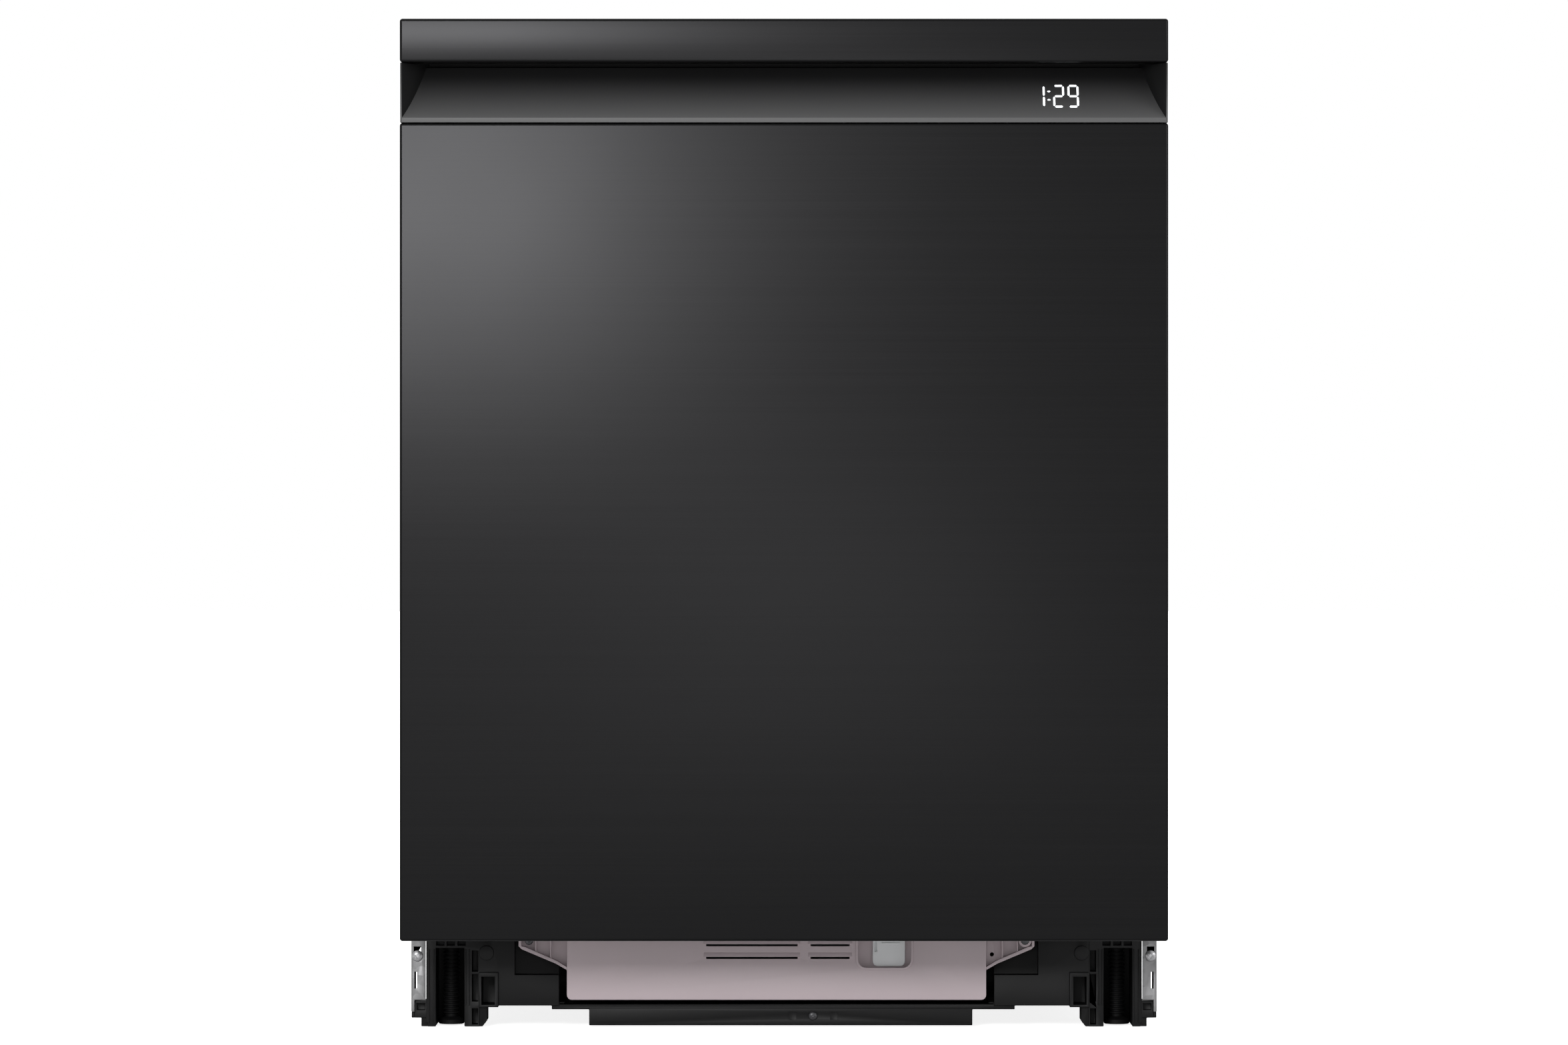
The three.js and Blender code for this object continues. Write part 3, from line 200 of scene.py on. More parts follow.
def socket_group(name, inputs, outputs):
    """An empty group with named sockets: inputs as (name, kind, default), outputs as (name, kind)."""
    group = bpy.data.node_groups.new(name, "ShaderNodeTree")
    for label, kind, default in inputs:
        socket = group.interface.new_socket(name=label, in_out="INPUT", socket_type=kind)
        socket.default_value = default
    for label, kind in outputs:
        group.interface.new_socket(name=label, in_out="OUTPUT", socket_type=kind)
    into = group.nodes.new("NodeGroupInput")
    out = group.nodes.new("NodeGroupOutput")
    return group, into, out


def math_node(group, operation, amount=None):
    """A Math node in a group. The amount, where it is given, is the second input."""
    node = group.nodes.new("ShaderNodeMath")
    node.operation = operation
    if amount is not None:
        node.inputs[1].default_value = amount
    return node


def tint_node(group):
    """A node that multiplies a colour by a tone."""
    node = group.nodes.new("ShaderNodeMix")
    node.data_type = "RGBA"
    node.blend_type = "MULTIPLY"
    node.inputs["Factor"].default_value = 1.0
    return node


def brushed_grain_group():
    """Fine lines along one direction, with broad soft patches of slightly different gloss."""
    group, into, out = socket_group(
        "brushed_grain",
        [
            ("Stretch", "NodeSocketVector", (1, 1, 1)),
            ("Roughness", "NodeSocketFloat", 0.3),
            ("Spread", "NodeSocketFloat", 0.1),
        ],
        [("Lines", "NodeSocketFloat"), ("Roughness", "NodeSocketFloat")],
    )
    new, link = group.nodes.new, group.links.new
    place = new("ShaderNodeTexCoord")
    mapping = new("ShaderNodeMapping")
    lines = new("ShaderNodeTexNoise")
    lines.inputs["Scale"].default_value = 1.0
    lines.inputs["Detail"].default_value = 3.0
    patches = new("ShaderNodeTexNoise")
    patches.inputs["Scale"].default_value = 5.0
    centred = math_node(group, "SUBTRACT", 0.5)
    both = math_node(group, "ADD")
    halved = math_node(group, "MULTIPLY", 0.5)
    spread = math_node(group, "MULTIPLY_ADD")
    link(place.outputs["Object"], mapping.inputs["Vector"])
    link(into.outputs["Stretch"], mapping.inputs["Scale"])
    link(mapping.outputs["Vector"], lines.inputs["Vector"])
    link(place.outputs["Object"], patches.inputs["Vector"])
    link(lines.outputs["Fac"], both.inputs[0])
    link(patches.outputs["Fac"], both.inputs[1])
    link(both.outputs["Value"], halved.inputs[0])
    link(halved.outputs["Value"], centred.inputs[0])
    link(centred.outputs["Value"], spread.inputs[0])
    link(into.outputs["Spread"], spread.inputs[1])
    link(into.outputs["Roughness"], spread.inputs[2])
    link(lines.outputs["Fac"], out.inputs["Lines"])
    link(spread.outputs["Value"], out.inputs["Roughness"])
    return group


brushed_grain = brushed_grain_group()


def start_material(name, color, roughness, metallic=0.0):
    """A material with its Principled shader at plain values, returned with its node tree and the shader."""
    material = bpy.data.materials.new(name)
    material.use_nodes = True
    shader = material.node_tree.nodes["Principled BSDF"]
    shader.inputs["Base Color"].default_value = (*color, 1)
    shader.inputs["Roughness"].default_value = roughness
    shader.inputs["Metallic"].default_value = metallic
    return material, material.node_tree, shader


def add_bump(tree, shader, height, strength, distance):
    """Feeds a height through a Bump node into the shader's normal."""
    bump = tree.nodes.new("ShaderNodeBump")
    bump.inputs["Strength"].default_value = strength
    bump.inputs["Distance"].default_value = distance
    tree.links.new(height, bump.inputs["Height"])
    tree.links.new(bump.outputs["Normal"], shader.inputs["Normal"])


def use_group(tree, group, **values):
    """Places a shared node group in a material with its own values."""
    node = tree.nodes.new("ShaderNodeGroup")
    node.node_tree = group
    for key, value in values.items():
        node.inputs[key.replace("_", " ")].default_value = value
    return node


def brushed_metal(name, color, stretch, roughness, spread, depth):
    """Brushed sheet: lines from the shared grain move its gloss, its tone and its surface a little."""
    material, tree, shader = start_material(name, color, roughness, 1.0)
    grain = use_group(tree, brushed_grain, Stretch=stretch, Roughness=roughness, Spread=spread)
    tone = tree.nodes.new("ShaderNodeMix")
    tone.data_type = "RGBA"
    tone.inputs["A"].default_value = (*(c * 0.86 for c in color), 1)
    tone.inputs["B"].default_value = (*(c * 1.12 for c in color), 1)
    tree.links.new(grain.outputs["Lines"], tone.inputs["Factor"])
    tree.links.new(tone.outputs["Result"], shader.inputs["Base Color"])
    tree.links.new(grain.outputs["Roughness"], shader.inputs["Roughness"])
    add_bump(tree, shader, grain.outputs["Lines"], 0.25, depth)
    shader.inputs["Anisotropic"].default_value = 0.35
    return material


black_stainless = brushed_metal(
    "black_stainless", (0.0145, 0.0145, 0.015), (3, 900, 1500), 0.315, 0.08, 0.00002
)
bend_radius = 2.2 * mm
sheet_thickness = 1.0 * mm


def folded_front(name, node):
    """A front panel: a block open at the back, its edges rolled over, with the sheet's thickness inside."""
    low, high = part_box(node)
    panel = start_block(name, low, high)
    choose(panel, "EDGE", lambda place, way: place.y < high.y - 1 * mm)
    bpy.ops.mesh.bevel(offset=bend_radius, segments=5, profile=0.5)
    bpy.ops.mesh.select_all(action="DESELECT")
    done()
    choose(panel, "FACE", lambda place, normal: normal.y > 0.9)
    bpy.ops.mesh.delete(type="FACE")
    done()
    apply_modifier(panel, "SOLIDIFY", thickness=sheet_thickness, offset=-1)
    smooth_curves(30)
    fit(panel, "door", "black_steel", black_stainless, node)


folded_front("main_panel", "door_outer_panel")
folded_front("top_fascia", "door_top_fascia")

# ---------------------------------------------------------------- handle moulding
# A satin black moulding closes the gap between fascia and panel: a thin lip, a hollow ramp that the fingers
# slide up, a bead at its top and a finger space behind the fascia. Its cheeks draw in towards the back.


def moulded_texture_group():
    """Spark-eroded mould texture: fine pebbling, broad tone drift and a matching spread of gloss."""
    group, into, out = socket_group(
        "moulded_texture",
        [
            ("Color", "NodeSocketColor", (0.1, 0.1, 0.1, 1)),
            ("Pebbles", "NodeSocketFloat", 1400.0),
            ("Roughness", "NodeSocketFloat", 0.5),
            ("Drift", "NodeSocketFloat", 0.12),
        ],
        [("Color", "NodeSocketColor"), ("Roughness", "NodeSocketFloat"), ("Height", "NodeSocketFloat")],
    )
    new, link = group.nodes.new, group.links.new
    place = new("ShaderNodeTexCoord")
    pebbles = new("ShaderNodeTexNoise")
    pebbles.inputs["Detail"].default_value = 2.0
    drift = new("ShaderNodeTexNoise")
    drift.inputs["Scale"].default_value = 14.0
    drift.inputs["Detail"].default_value = 4.0
    centred = math_node(group, "SUBTRACT", 0.5)
    amount = math_node(group, "MULTIPLY")
    gain = math_node(group, "ADD", 1.0)
    tint = tint_node(group)
    gloss = math_node(group, "MULTIPLY")
    link(place.outputs["Object"], pebbles.inputs["Vector"])
    link(into.outputs["Pebbles"], pebbles.inputs["Scale"])
    link(place.outputs["Object"], drift.inputs["Vector"])
    link(drift.outputs["Fac"], centred.inputs[0])
    link(centred.outputs["Value"], amount.inputs[0])
    link(into.outputs["Drift"], amount.inputs[1])
    link(amount.outputs["Value"], gain.inputs[0])
    link(into.outputs["Color"], tint.inputs["A"])
    link(gain.outputs["Value"], tint.inputs["B"])
    link(into.outputs["Roughness"], gloss.inputs[0])
    link(gain.outputs["Value"], gloss.inputs[1])
    link(tint.outputs["Result"], out.inputs["Color"])
    link(gloss.outputs["Value"], out.inputs["Roughness"])
    link(pebbles.outputs["Fac"], out.inputs["Height"])
    return group


moulded_texture = moulded_texture_group()


def moulded_plastic(
    name, color, roughness, drift=0.25, pebbles=1400.0, depth=0.00006, strength=0.35, sheen=0.5
):
    """A moulded plastic with the shared mould texture at its own scale; sheen is its specular level."""
    material, tree, shader = start_material(name, color, roughness)
    shader.inputs["Specular IOR Level"].default_value = sheen
    texture = use_group(
        tree, moulded_texture, Color=(*color, 1), Roughness=roughness, Drift=drift, Pebbles=pebbles
    )
    tree.links.new(texture.outputs["Color"], shader.inputs["Base Color"])
    tree.links.new(texture.outputs["Roughness"], shader.inputs["Roughness"])
    add_bump(tree, shader, texture.outputs["Height"], strength, depth)
    return material


def join_pieces(name, pieces):
    """Joins finished meshes into the first of them."""
    bpy.ops.object.select_all(action="DESELECT")
    for piece in pieces:
        piece.select_set(True)
    bpy.context.view_layer.objects.active = pieces[0]
    bpy.ops.object.join()
    pieces[0].name = pieces[0].data.name = name
    return pieces[0]


def cut_with(piece, tool):
    """Takes a tool's space out of a piece."""
    apply_modifier(piece, "BOOLEAN", object=tool, operation="DIFFERENCE", solver="EXACT")
    bpy.data.objects.remove(tool)


def line_of(name, start, end):
    """A single edge, made from a plane with two of its corners taken away."""
    bpy.ops.object.select_all(action="DESELECT")
    bpy.ops.mesh.primitive_plane_add(size=1)
    piece = bpy.context.object
    piece.name = piece.data.name = name
    choose(piece, "VERT", lambda place, normal: place.y > 0)
    bpy.ops.mesh.delete(type="VERT")
    done()
    for corner, target in zip(piece.data.vertices, (start, end)):
        corner.co = target
    return piece


def sweep_line(piece, path):
    """Extrudes the selected edge of a line along the other points of a path."""
    choose(piece, "EDGE", lambda place, way: True)
    for before, after in zip(path, path[1:]):
        bpy.ops.mesh.extrude_region_move(TRANSFORM_OT_translate={"value": Vector(after) - Vector(before)})
    done()


def pocket_light_shade_group():
    """How much painted light the handle gets: none deep in the pocket or on its cheeks, which keep a
    painted shade, and most along the lip.
    """
    group, into, out = socket_group(
        "painted_pocket_light",
        [("Bottom", "NodeSocketFloat", 0.72), ("Top", "NodeSocketFloat", 0.76)],
        [("Amount", "NodeSocketFloat")],
    )
    new, link = group.nodes.new, group.links.new
    place = new("ShaderNodeTexCoord")
    height = new("ShaderNodeSeparateXYZ")
    facing = new("ShaderNodeSeparateXYZ")
    rise = new("ShaderNodeMapRange")
    rise.inputs["To Min"].default_value = 1.0
    rise.inputs["To Max"].default_value = 0.0
    ease = math_node(group, "POWER", 1.3)
    sideways = math_node(group, "ABSOLUTE")
    level = new("ShaderNodeMapRange")
    level.inputs["From Min"].default_value = 0.2
    level.inputs["From Max"].default_value = 0.6
    level.inputs["To Min"].default_value = 1.0
    level.inputs["To Max"].default_value = 0.0
    both = math_node(group, "MULTIPLY")
    link(place.outputs["Object"], height.inputs["Vector"])
    link(place.outputs["Normal"], facing.inputs["Vector"])
    link(height.outputs["Z"], rise.inputs["Value"])
    link(into.outputs["Bottom"], rise.inputs["From Min"])
    link(into.outputs["Top"], rise.inputs["From Max"])
    link(rise.outputs["Result"], ease.inputs[0])
    link(facing.outputs["X"], sideways.inputs[0])
    link(sideways.outputs["Value"], level.inputs["Value"])
    link(ease.outputs["Value"], both.inputs[0])
    link(level.outputs["Result"], both.inputs[1])
    link(both.outputs["Value"], out.inputs["Amount"])
    return group


painted_pocket_light = pocket_light_shade_group()
handle_plastic, handle_tree, handle_shader = start_material("handle_black", (0.016, 0.016, 0.017), 0.45)
handle_shader.inputs["Specular IOR Level"].default_value = 0.2
# the handle's colour is painted lighter towards the lip and darker deep in the pocket and on its cheeks:
# painted light and shade
pocket_light_mask = use_group(handle_tree, painted_pocket_light, Bottom=0.7235, Top=0.7585)
handle_skin = use_group(
    handle_tree, moulded_texture, Color=(0.006, 0.006, 0.0062, 1), Roughness=0.45, Drift=0.2, Pebbles=1400.0
)
handle_light_shade_mix = handle_tree.nodes.new("ShaderNodeMix")
handle_light_shade_mix.data_type = "RGBA"
handle_light_shade_mix.inputs["B"].default_value = (0.082, 0.082, 0.083, 1)
handle_tree.links.new(pocket_light_mask.outputs["Amount"], handle_light_shade_mix.inputs["Factor"])
handle_tree.links.new(handle_skin.outputs["Color"], handle_light_shade_mix.inputs["A"])
handle_tree.links.new(handle_light_shade_mix.outputs["Result"], handle_shader.inputs["Base Color"])
handle_tree.links.new(handle_skin.outputs["Roughness"], handle_shader.inputs["Roughness"])
add_bump(handle_tree, handle_shader, handle_skin.outputs["Height"], 0.35, 0.00003)
pocket_low, pocket_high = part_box("handle_pocket")
lip_height = 3.7 * mm
ramp_depth = 34 * mm
ramp_rise = 40.2 * mm
wall = 2.2 * mm
ramp_start = Vector((0, pocket_low.y, pocket_low.z + lip_height))


def ramp_point(t):
    """The ramp's section: a hollow curve that climbs more steeply towards its top."""
    return Vector((0, ramp_start.y + ramp_depth * t, ramp_start.z + ramp_rise * (0.72 * t + 0.28 * t**2.2)))


section = [
    Vector((0, pocket_low.y + 5 * mm, pocket_low.z)),
    Vector((0, pocket_low.y, pocket_low.z)),
    ramp_start,
]
section += [ramp_point(i / 12) for i in range(1, 13)]
ramp_top = section[-1]
section += [
    ramp_top + Vector((0, 0.2 * mm, 1.3 * mm)),
    ramp_top + Vector((0, 1.6 * mm, 1.5 * mm)),
    ramp_top + Vector((0, 2.2 * mm, 0.1 * mm)),
    Vector((0, pocket_high.y - wall - 1.2 * mm, ramp_top.z + 2 * mm)),
    Vector((0, pocket_high.y - wall, pocket_high.z - wall)),
    Vector((0, pocket_low.y + 24 * mm, pocket_high.z - wall)),
]
across = Vector((pocket_high.x - 1.2 * mm, 0, 0))
ramp = line_of("handle_moulding", section[0] - across, section[0] + across)
sweep_line(ramp, section)
apply_modifier(ramp, "SOLIDIFY", thickness=wall, offset=-1 if ramp.data.polygons[4].normal.z > 0 else 1)
bevel_edges(ramp, 0.5 * mm, 3)
cheeks = []
fascia_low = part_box("door_top_fascia")[0]
past_side = 400 * mm
cheek_mouth = 1.4 * mm
cheek_back = 22.6 * mm
for side in (-1, 1):
    inner, outer = sorted((side * (pocket_high.x - cheek_back), side * pocket_high.x))
    cheek = start_block("cheek", (inner, pocket_low.y, pocket_low.z), (outer, pocket_high.y, pocket_high.z))
    front_y, outer_x = pocket_low.y + 1 * mm, pocket_high.x - 1 * mm
    choose(cheek, "VERT", lambda place, normal: place.y < front_y and abs(place.x) < outer_x)
    bpy.ops.transform.translate(value=(side * (cheek_back - cheek_mouth), 0, 0))
    done()
    cheeks.append(cheek)
    # behind the fascia's return the cheek steps back, so that the fascia can slide over it
    clearance = start_block(
        "clearance",
        (-past_side, pocket_low.y - 5 * mm, fascia_low.z - 0.3 * mm),
        (past_side, pocket_low.y + 22 * mm, pocket_high.z + 5 * mm),
    )
    cut_with(cheek, clearance)
    bevel_edges(cheek, 0.4 * mm)
handle = join_pieces("handle_moulding", [ramp, *cheeks])
smooth_curves(35)
fit(handle, "door", "handle_plastic", handle_plastic, "handle_pocket")

# ---------------------------------------------------------------- time display
# Light-emitting segments shine through the ramp near its right end and read a time in plain numerals.
# Each segment is a thin lozenge; two dots stand between the hours and the minutes.

glow, glow_tree, glow_shader = start_material("display_glow", (0.9, 0.93, 0.95), 0.5)
shimmer = use_group(
    glow_tree, moulded_texture, Color=(0.9, 0.94, 0.97, 1), Roughness=0.5, Drift=0.25, Pebbles=2500.0
)
glow_tree.links.new(shimmer.outputs["Color"], glow_shader.inputs["Emission Color"])
glow_tree.links.new(shimmer.outputs["Color"], glow_shader.inputs["Base Color"])
glow_shader.inputs["Emission Strength"].default_value = 1.6

digit_height = 17.3 * mm
digit_width = 7.2 * mm
stroke = 1.5 * mm
display_x = 219.1 * mm
display_z = 741.8 * mm
numerals = {"1": "bc", "2": "abged", "9": "abcdfg"}
slots_x = {"1": -17.2 * mm, "2": -1.9 * mm, "9": 9.6 * mm}
half_h, half_w = digit_height / 2, digit_width / 2
bars = {
    "a": ((0, half_h), True),
    "b": ((half_w, half_h / 2), False),
    "c": ((half_w, -half_h / 2), False),
    "d": ((0, -half_h), True),
    "e": ((-half_w, -half_h / 2), False),
    "f": ((-half_w, half_h / 2), False),
    "g": ((0, 0), True),
}


def ramp_y(z):
    """How far back the ramp's face lies at a height."""
    t = 0.0
    while ramp_point(t).z < z:
        t += 0.002
    return ramp_point(t).y


def lozenge(centre, width, height):
    """One glowing segment: a small block whose ends are drawn to points, lying on the ramp's face."""
    x, z = centre
    y = ramp_y(z)
    piece = start_block(
        "segment",
        (x - width / 2, y - 0.35 * mm, z - height / 2),
        (x + width / 2, y + 0.2 * mm, z + height / 2),
    )
    long_way = 0 if width > height else 2
    for end in (-1, 1):
        choose(piece, "FACE", lambda place, normal: normal[long_way] * end > 0.9)
        bpy.ops.mesh.extrude_region_move(
            TRANSFORM_OT_translate={"value": [0.6 * mm * end if i == long_way else 0 for i in range(3)]}
        )
        bpy.ops.transform.resize(value=[1 if i in (1, long_way) else 0.3 for i in range(3)])
        done()
    for corner in piece.data.vertices:
        corner.co.y += ramp_y(corner.co.z) - y
    return piece


lit = []
for numeral, offset in slots_x.items():
    for name in numerals[numeral]:
        (x, z), lies = bars[name]
        long = (digit_width if lies else half_h) - 2.4 * mm
        size = (long, stroke) if lies else (stroke, long)
        lit.append(lozenge((display_x + offset + x, display_z + z), *size))
for z in (-3 * mm, 4 * mm):
    lit.append(lozenge((display_x - 9.6 * mm, display_z + z), 1.2 * mm, 1.1 * mm))
digits = join_pieces("time_display", lit)
fit(digits, "door", "white_plastic", glow)

# ---------------------------------------------------------------- base
# One deep black moulding closes the bottom of the machine: corner wells for the feet, front walls round the
# service cover and skids at the back. It is moulded in polypropylene, and thin ribs keep it stiff.


def merged_copy(node, name):
    """A copy of a frame node as one merged surface, ready to be shaped."""
    piece = bpy.data.objects.new(name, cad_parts[node].data.copy())
    piece.data.name = name
    bpy.context.collection.objects.link(piece)
    choose(piece, "VERT", lambda place, normal: True)
    bpy.ops.mesh.remove_doubles(threshold=0.003 * mm)
    bpy.ops.mesh.customdata_custom_splitnormals_clear()
    bpy.ops.mesh.dissolve_limited(angle_limit=math.radians(1))
    done()
    return piece


def softened(node, name, width, segments=2):
    """A frame node's own shape with its edges broken, as a moulding or a pressing leaves its tool."""
    piece = merged_copy(node, name)
    bevel_edges(piece, width, segments, use_clamp_overlap=False, loop_slide=False)
    smooth_curves()
    return piece


def raised_frame(name, centre, width, height, proud):
    """A small moulded mark: a plate whose face is inset and pushed back, so that its outline stands out."""
    x, y, z = centre
    plate = start_block(
        name, (x - width / 2, y - proud, z - height / 2), (x + width / 2, y + 0.5 * mm, z + height / 2)
    )
    choose(plate, "FACE", lambda place, normal: normal.y < -0.9)
    bpy.ops.mesh.inset(thickness=0.7 * mm, depth=-proud * 0.8)
    done()
    return plate


black_moulding = moulded_plastic(
    "black_moulding", (0.004, 0.004, 0.0042), 0.5, drift=0.3, depth=0.00005, sheen=0.22
)
base_face = -214 * mm
base_shell = softened("base_pan", "base_shell", 0.5 * mm)
marks = []
for x in (7 * mm, 40 * mm):
    marks.append(raised_frame("tool_mark", (x, base_face, 8.6 * mm), 6 * mm, 6.4 * mm, 0.45 * mm))
body_side = 299 * mm
for side in (-1, 1):
    for inward, low, high in ((14.2, 3, 62), (18.2, 3, 62), (43.4, 17, 62), (46.4, 17, 62)):
        x = side * (body_side - inward * mm)
        rib = start_block(
            "well_rib",
            (x - 0.45 * mm, base_face - 0.9 * mm, low * mm),
            (x + 0.45 * mm, base_face + 0.6 * mm, high * mm),
        )
        apply_modifier(rib, "BEVEL", width=0.25 * mm, segments=1)
        marks.append(rib)
    # a fin behind the post's inner edge closes the slit between post and well
    fin_near, fin_far = sorted((side * 285.2 * mm, side * 287.2 * mm))
    fin = start_block(
        "post_fin", (fin_near, base_face + 1 * mm, 3 * mm), (fin_far, base_face + 6 * mm, 134 * mm)
    )
    apply_modifier(fin, "BEVEL", width=0.3 * mm, segments=1)
    marks.append(fin)
base = join_pieces("base_shell", [base_shell, *marks])
smooth_curves()
fit(base, "cabinet", "black_plastic", black_moulding, "base_pan")

# ---------------------------------------------------------------- corner posts
# Two folded strips of galvanised steel stand at the front corners. Each is hooked over the base, screwed to
# it, and carries the ear and the pin of the door's hinge. The zinc shows its crystals as faint patches.


def zinc_spangle_group():
    """Galvanised zinc: flat crystals a few millimetres across, each with its own tone and gloss."""
    group, into, out = socket_group(
        "zinc_spangle",
        [
            ("Color", "NodeSocketColor", (0.4, 0.4, 0.4, 1)),
            ("Crystals", "NodeSocketFloat", 130.0),
            ("Roughness", "NodeSocketFloat", 0.4),
        ],
        [("Color", "NodeSocketColor"), ("Roughness", "NodeSocketFloat"), ("Height", "NodeSocketFloat")],
    )
    new, link = group.nodes.new, group.links.new
    place = new("ShaderNodeTexCoord")
    crystals = new("ShaderNodeTexVoronoi")
    tone = new("ShaderNodeMapRange")
    tone.inputs["To Min"].default_value = 0.8
    tone.inputs["To Max"].default_value = 1.16
    stain = new("ShaderNodeTexNoise")
    stain.inputs["Scale"].default_value = 22.0
    stain.inputs["Detail"].default_value = 5.0
    level = new("ShaderNodeMapRange")
    level.inputs["From Min"].default_value = 0.35
    level.inputs["From Max"].default_value = 0.75
    level.inputs["To Min"].default_value = 1.05
    level.inputs["To Max"].default_value = 0.84
    both = math_node(group, "MULTIPLY")
    tint = tint_node(group)
    gloss = math_node(group, "DIVIDE")
    link(place.outputs["Object"], crystals.inputs["Vector"])
    link(into.outputs["Crystals"], crystals.inputs["Scale"])
    link(crystals.outputs["Color"], tone.inputs["Value"])
    link(place.outputs["Object"], stain.inputs["Vector"])
    link(stain.outputs["Fac"], level.inputs["Value"])
    link(tone.outputs["Result"], both.inputs[0])
    link(level.outputs["Result"], both.inputs[1])
    link(into.outputs["Color"], tint.inputs["A"])
    link(both.outputs["Value"], tint.inputs["B"])
    link(into.outputs["Roughness"], gloss.inputs[0])
    link(both.outputs["Value"], gloss.inputs[1])
    link(tint.outputs["Result"], out.inputs["Color"])
    link(gloss.outputs["Value"], out.inputs["Roughness"])
    link(tone.outputs["Result"], out.inputs["Height"])
    return group


zinc_spangle = zinc_spangle_group()


def zinc_plated(name, color, roughness, crystals, depth):
    """Zinc on steel, with the shared crystal pattern at its own size."""
    material, tree, shader = start_material(name, color, roughness, 0.9)
    zinc = use_group(tree, zinc_spangle, Color=(*color, 1), Crystals=crystals, Roughness=roughness)
    tree.links.new(zinc.outputs["Color"], shader.inputs["Base Color"])
    tree.links.new(zinc.outputs["Roughness"], shader.inputs["Roughness"])
    add_bump(tree, shader, zinc.outputs["Height"], 0.15, depth)
    return material


galvanised = zinc_plated("galvanised_steel", (0.23, 0.23, 0.233), 0.5, 150.0, 0.00004)
for side in ("left", "right"):
    post = softened(f"side_post_{side}", f"corner_post_{side}", 0.3 * mm)
    fit(post, "cabinet", "zinc_steel", galvanised, f"side_post_{side}")

# ---------------------------------------------------------------- screws in the base
# Pan-head screws with a cross recess, cold-headed from wire and zinc plated. Two hold the corner posts, and
# one in the middle of the lower edge waits for the kick plate.


def turned(name, profile, centre, axis, steps=32):
    """Spins a profile of (radius, distance along the axis) pairs round the axis into a surface."""
    axis, centre = Vector(axis), Vector(centre)
    outward = axis.orthogonal().normalized()
    points = [centre + outward * r + axis * d for r, d in profile]
    bpy.ops.object.select_all(action="DESELECT")
    bpy.ops.mesh.primitive_plane_add(size=1)
    piece = bpy.context.object
    piece.name = piece.data.name = name
    choose(piece, "VERT", lambda place, normal: place.x > 0 or place.y > 0)
    bpy.ops.mesh.delete(type="VERT")
    done()
    piece.data.vertices[0].co = points[0]
    choose(piece, "VERT", lambda place, normal: True)
    for before, after in zip(points, points[1:]):
        bpy.ops.mesh.extrude_region_move(TRANSFORM_OT_translate={"value": after - before})
    bpy.ops.mesh.select_all(action="SELECT")
    bpy.ops.mesh.spin(steps=steps, angle=2 * math.pi, center=centre, axis=axis)
    bpy.ops.mesh.select_all(action="SELECT")
    bpy.ops.mesh.remove_doubles(threshold=0.002 * mm)
    bpy.ops.mesh.normals_make_consistent(inside=False)
    done()
    smooth_curves()
    return piece


def pan_screw(name, seat, radius, height):
    """A domed head that faces the front, its tapered cross cut in, and a short shank behind it."""
    seat = Vector(seat)
    dome = [(radius * math.sin(a), height * math.cos(a)) for a in (0.0, 0.35, 0.7, 1.05, 1.35)]
    shank = [(radius, 0), (radius * 0.5, 0), (radius * 0.5, -6 * mm), (0, -6 * mm)]
    profile = [*dome, (radius, height * 0.12), *shank]
    screw = turned(name, profile, seat, (0, -1, 0), 36)
    for long_x, long_z in ((radius * 0.6, radius * 0.17), (radius * 0.17, radius * 0.6)):
        slot = start_block(
            "recess",
            (seat.x - long_x, seat.y - height * 2, seat.z - long_z),
            (seat.x + long_x, seat.y - height * 0.25, seat.z + long_z),
        )
        choose(slot, "FACE", lambda place, normal: normal.y > 0.9)
        bpy.ops.transform.resize(value=(0.55, 1, 0.55))
        done()
        cut_with(screw, slot)
    smooth_curves(30)
    return screw


bright_zinc = zinc_plated("bright_zinc", (0.42, 0.42, 0.43), 0.34, 700.0, 0.00002)
blackened = zinc_plated("blackened_steel", (0.1, 0.1, 0.105), 0.4, 600.0, 0.00002)
head_height = 2.1 * mm
for node, name, plating in (
    ("bracket_screw_left", "post_screw_left", bright_zinc),
    ("bracket_screw_right", "post_screw_right", bright_zinc),
    ("kick_plate_screw", "kick_plate_fixing", blackened),
):
    low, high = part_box(node)
    head = (high.x - low.x) / 2
    middle = (low + high) / 2
    seat = (middle.x, low.y + head_height, middle.z)
    fit(pan_screw(name, seat, head, head_height), "cabinet", "screw_steel", plating, node)

# ---------------------------------------------------------------- service cover
# A satin mauve cover in polypropylene closes the electrics in the middle of the base. Its arms are screwed
# on, hooded louvres let warm air out, and a clip in a recess holds its lower edge.

mauve_moulding = moulded_plastic("mauve_moulding", (0.445, 0.375, 0.395), 0.48, drift=0.1, depth=0.00004)
cover_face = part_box("service_cover")[0].y
cover = softened("service_cover", "service_cover_shell", 0.4 * mm)
details = []
hood_bottom = 56.2 * mm
vent_pitch = 10.2 * mm
for row in range(4):
    z = hood_bottom + row * vent_pitch
    for left, right in ((-62.4, 10.9), (21.4, 52.6)):
        hood = start_block(
            "louvre_hood",
            ((left - 2) * mm, cover_face - 1.3 * mm, z - 0.1 * mm),
            ((right + 2) * mm, cover_face + 0.5 * mm, z + 3.4 * mm),
        )
        choose(hood, "EDGE", lambda place, way: place.y < cover_face - 1 * mm and place.z > z + 2 * mm)
        bpy.ops.transform.translate(value=(0, 1.25 * mm, 0))
        done()
        middle = (left + right) / 2 * mm
        for end in (-1, 1):
            choose(
                hood,
                "EDGE",
                lambda place, way: place.y < cover_face - 1 * mm and (place.x - middle) * end > 9 * mm,
            )
            bpy.ops.transform.translate(value=(-end * 1.6 * mm, 0, 0))
            done()
        bevel_edges(hood, 0.3 * mm, 2, 30)
        details.append(hood)
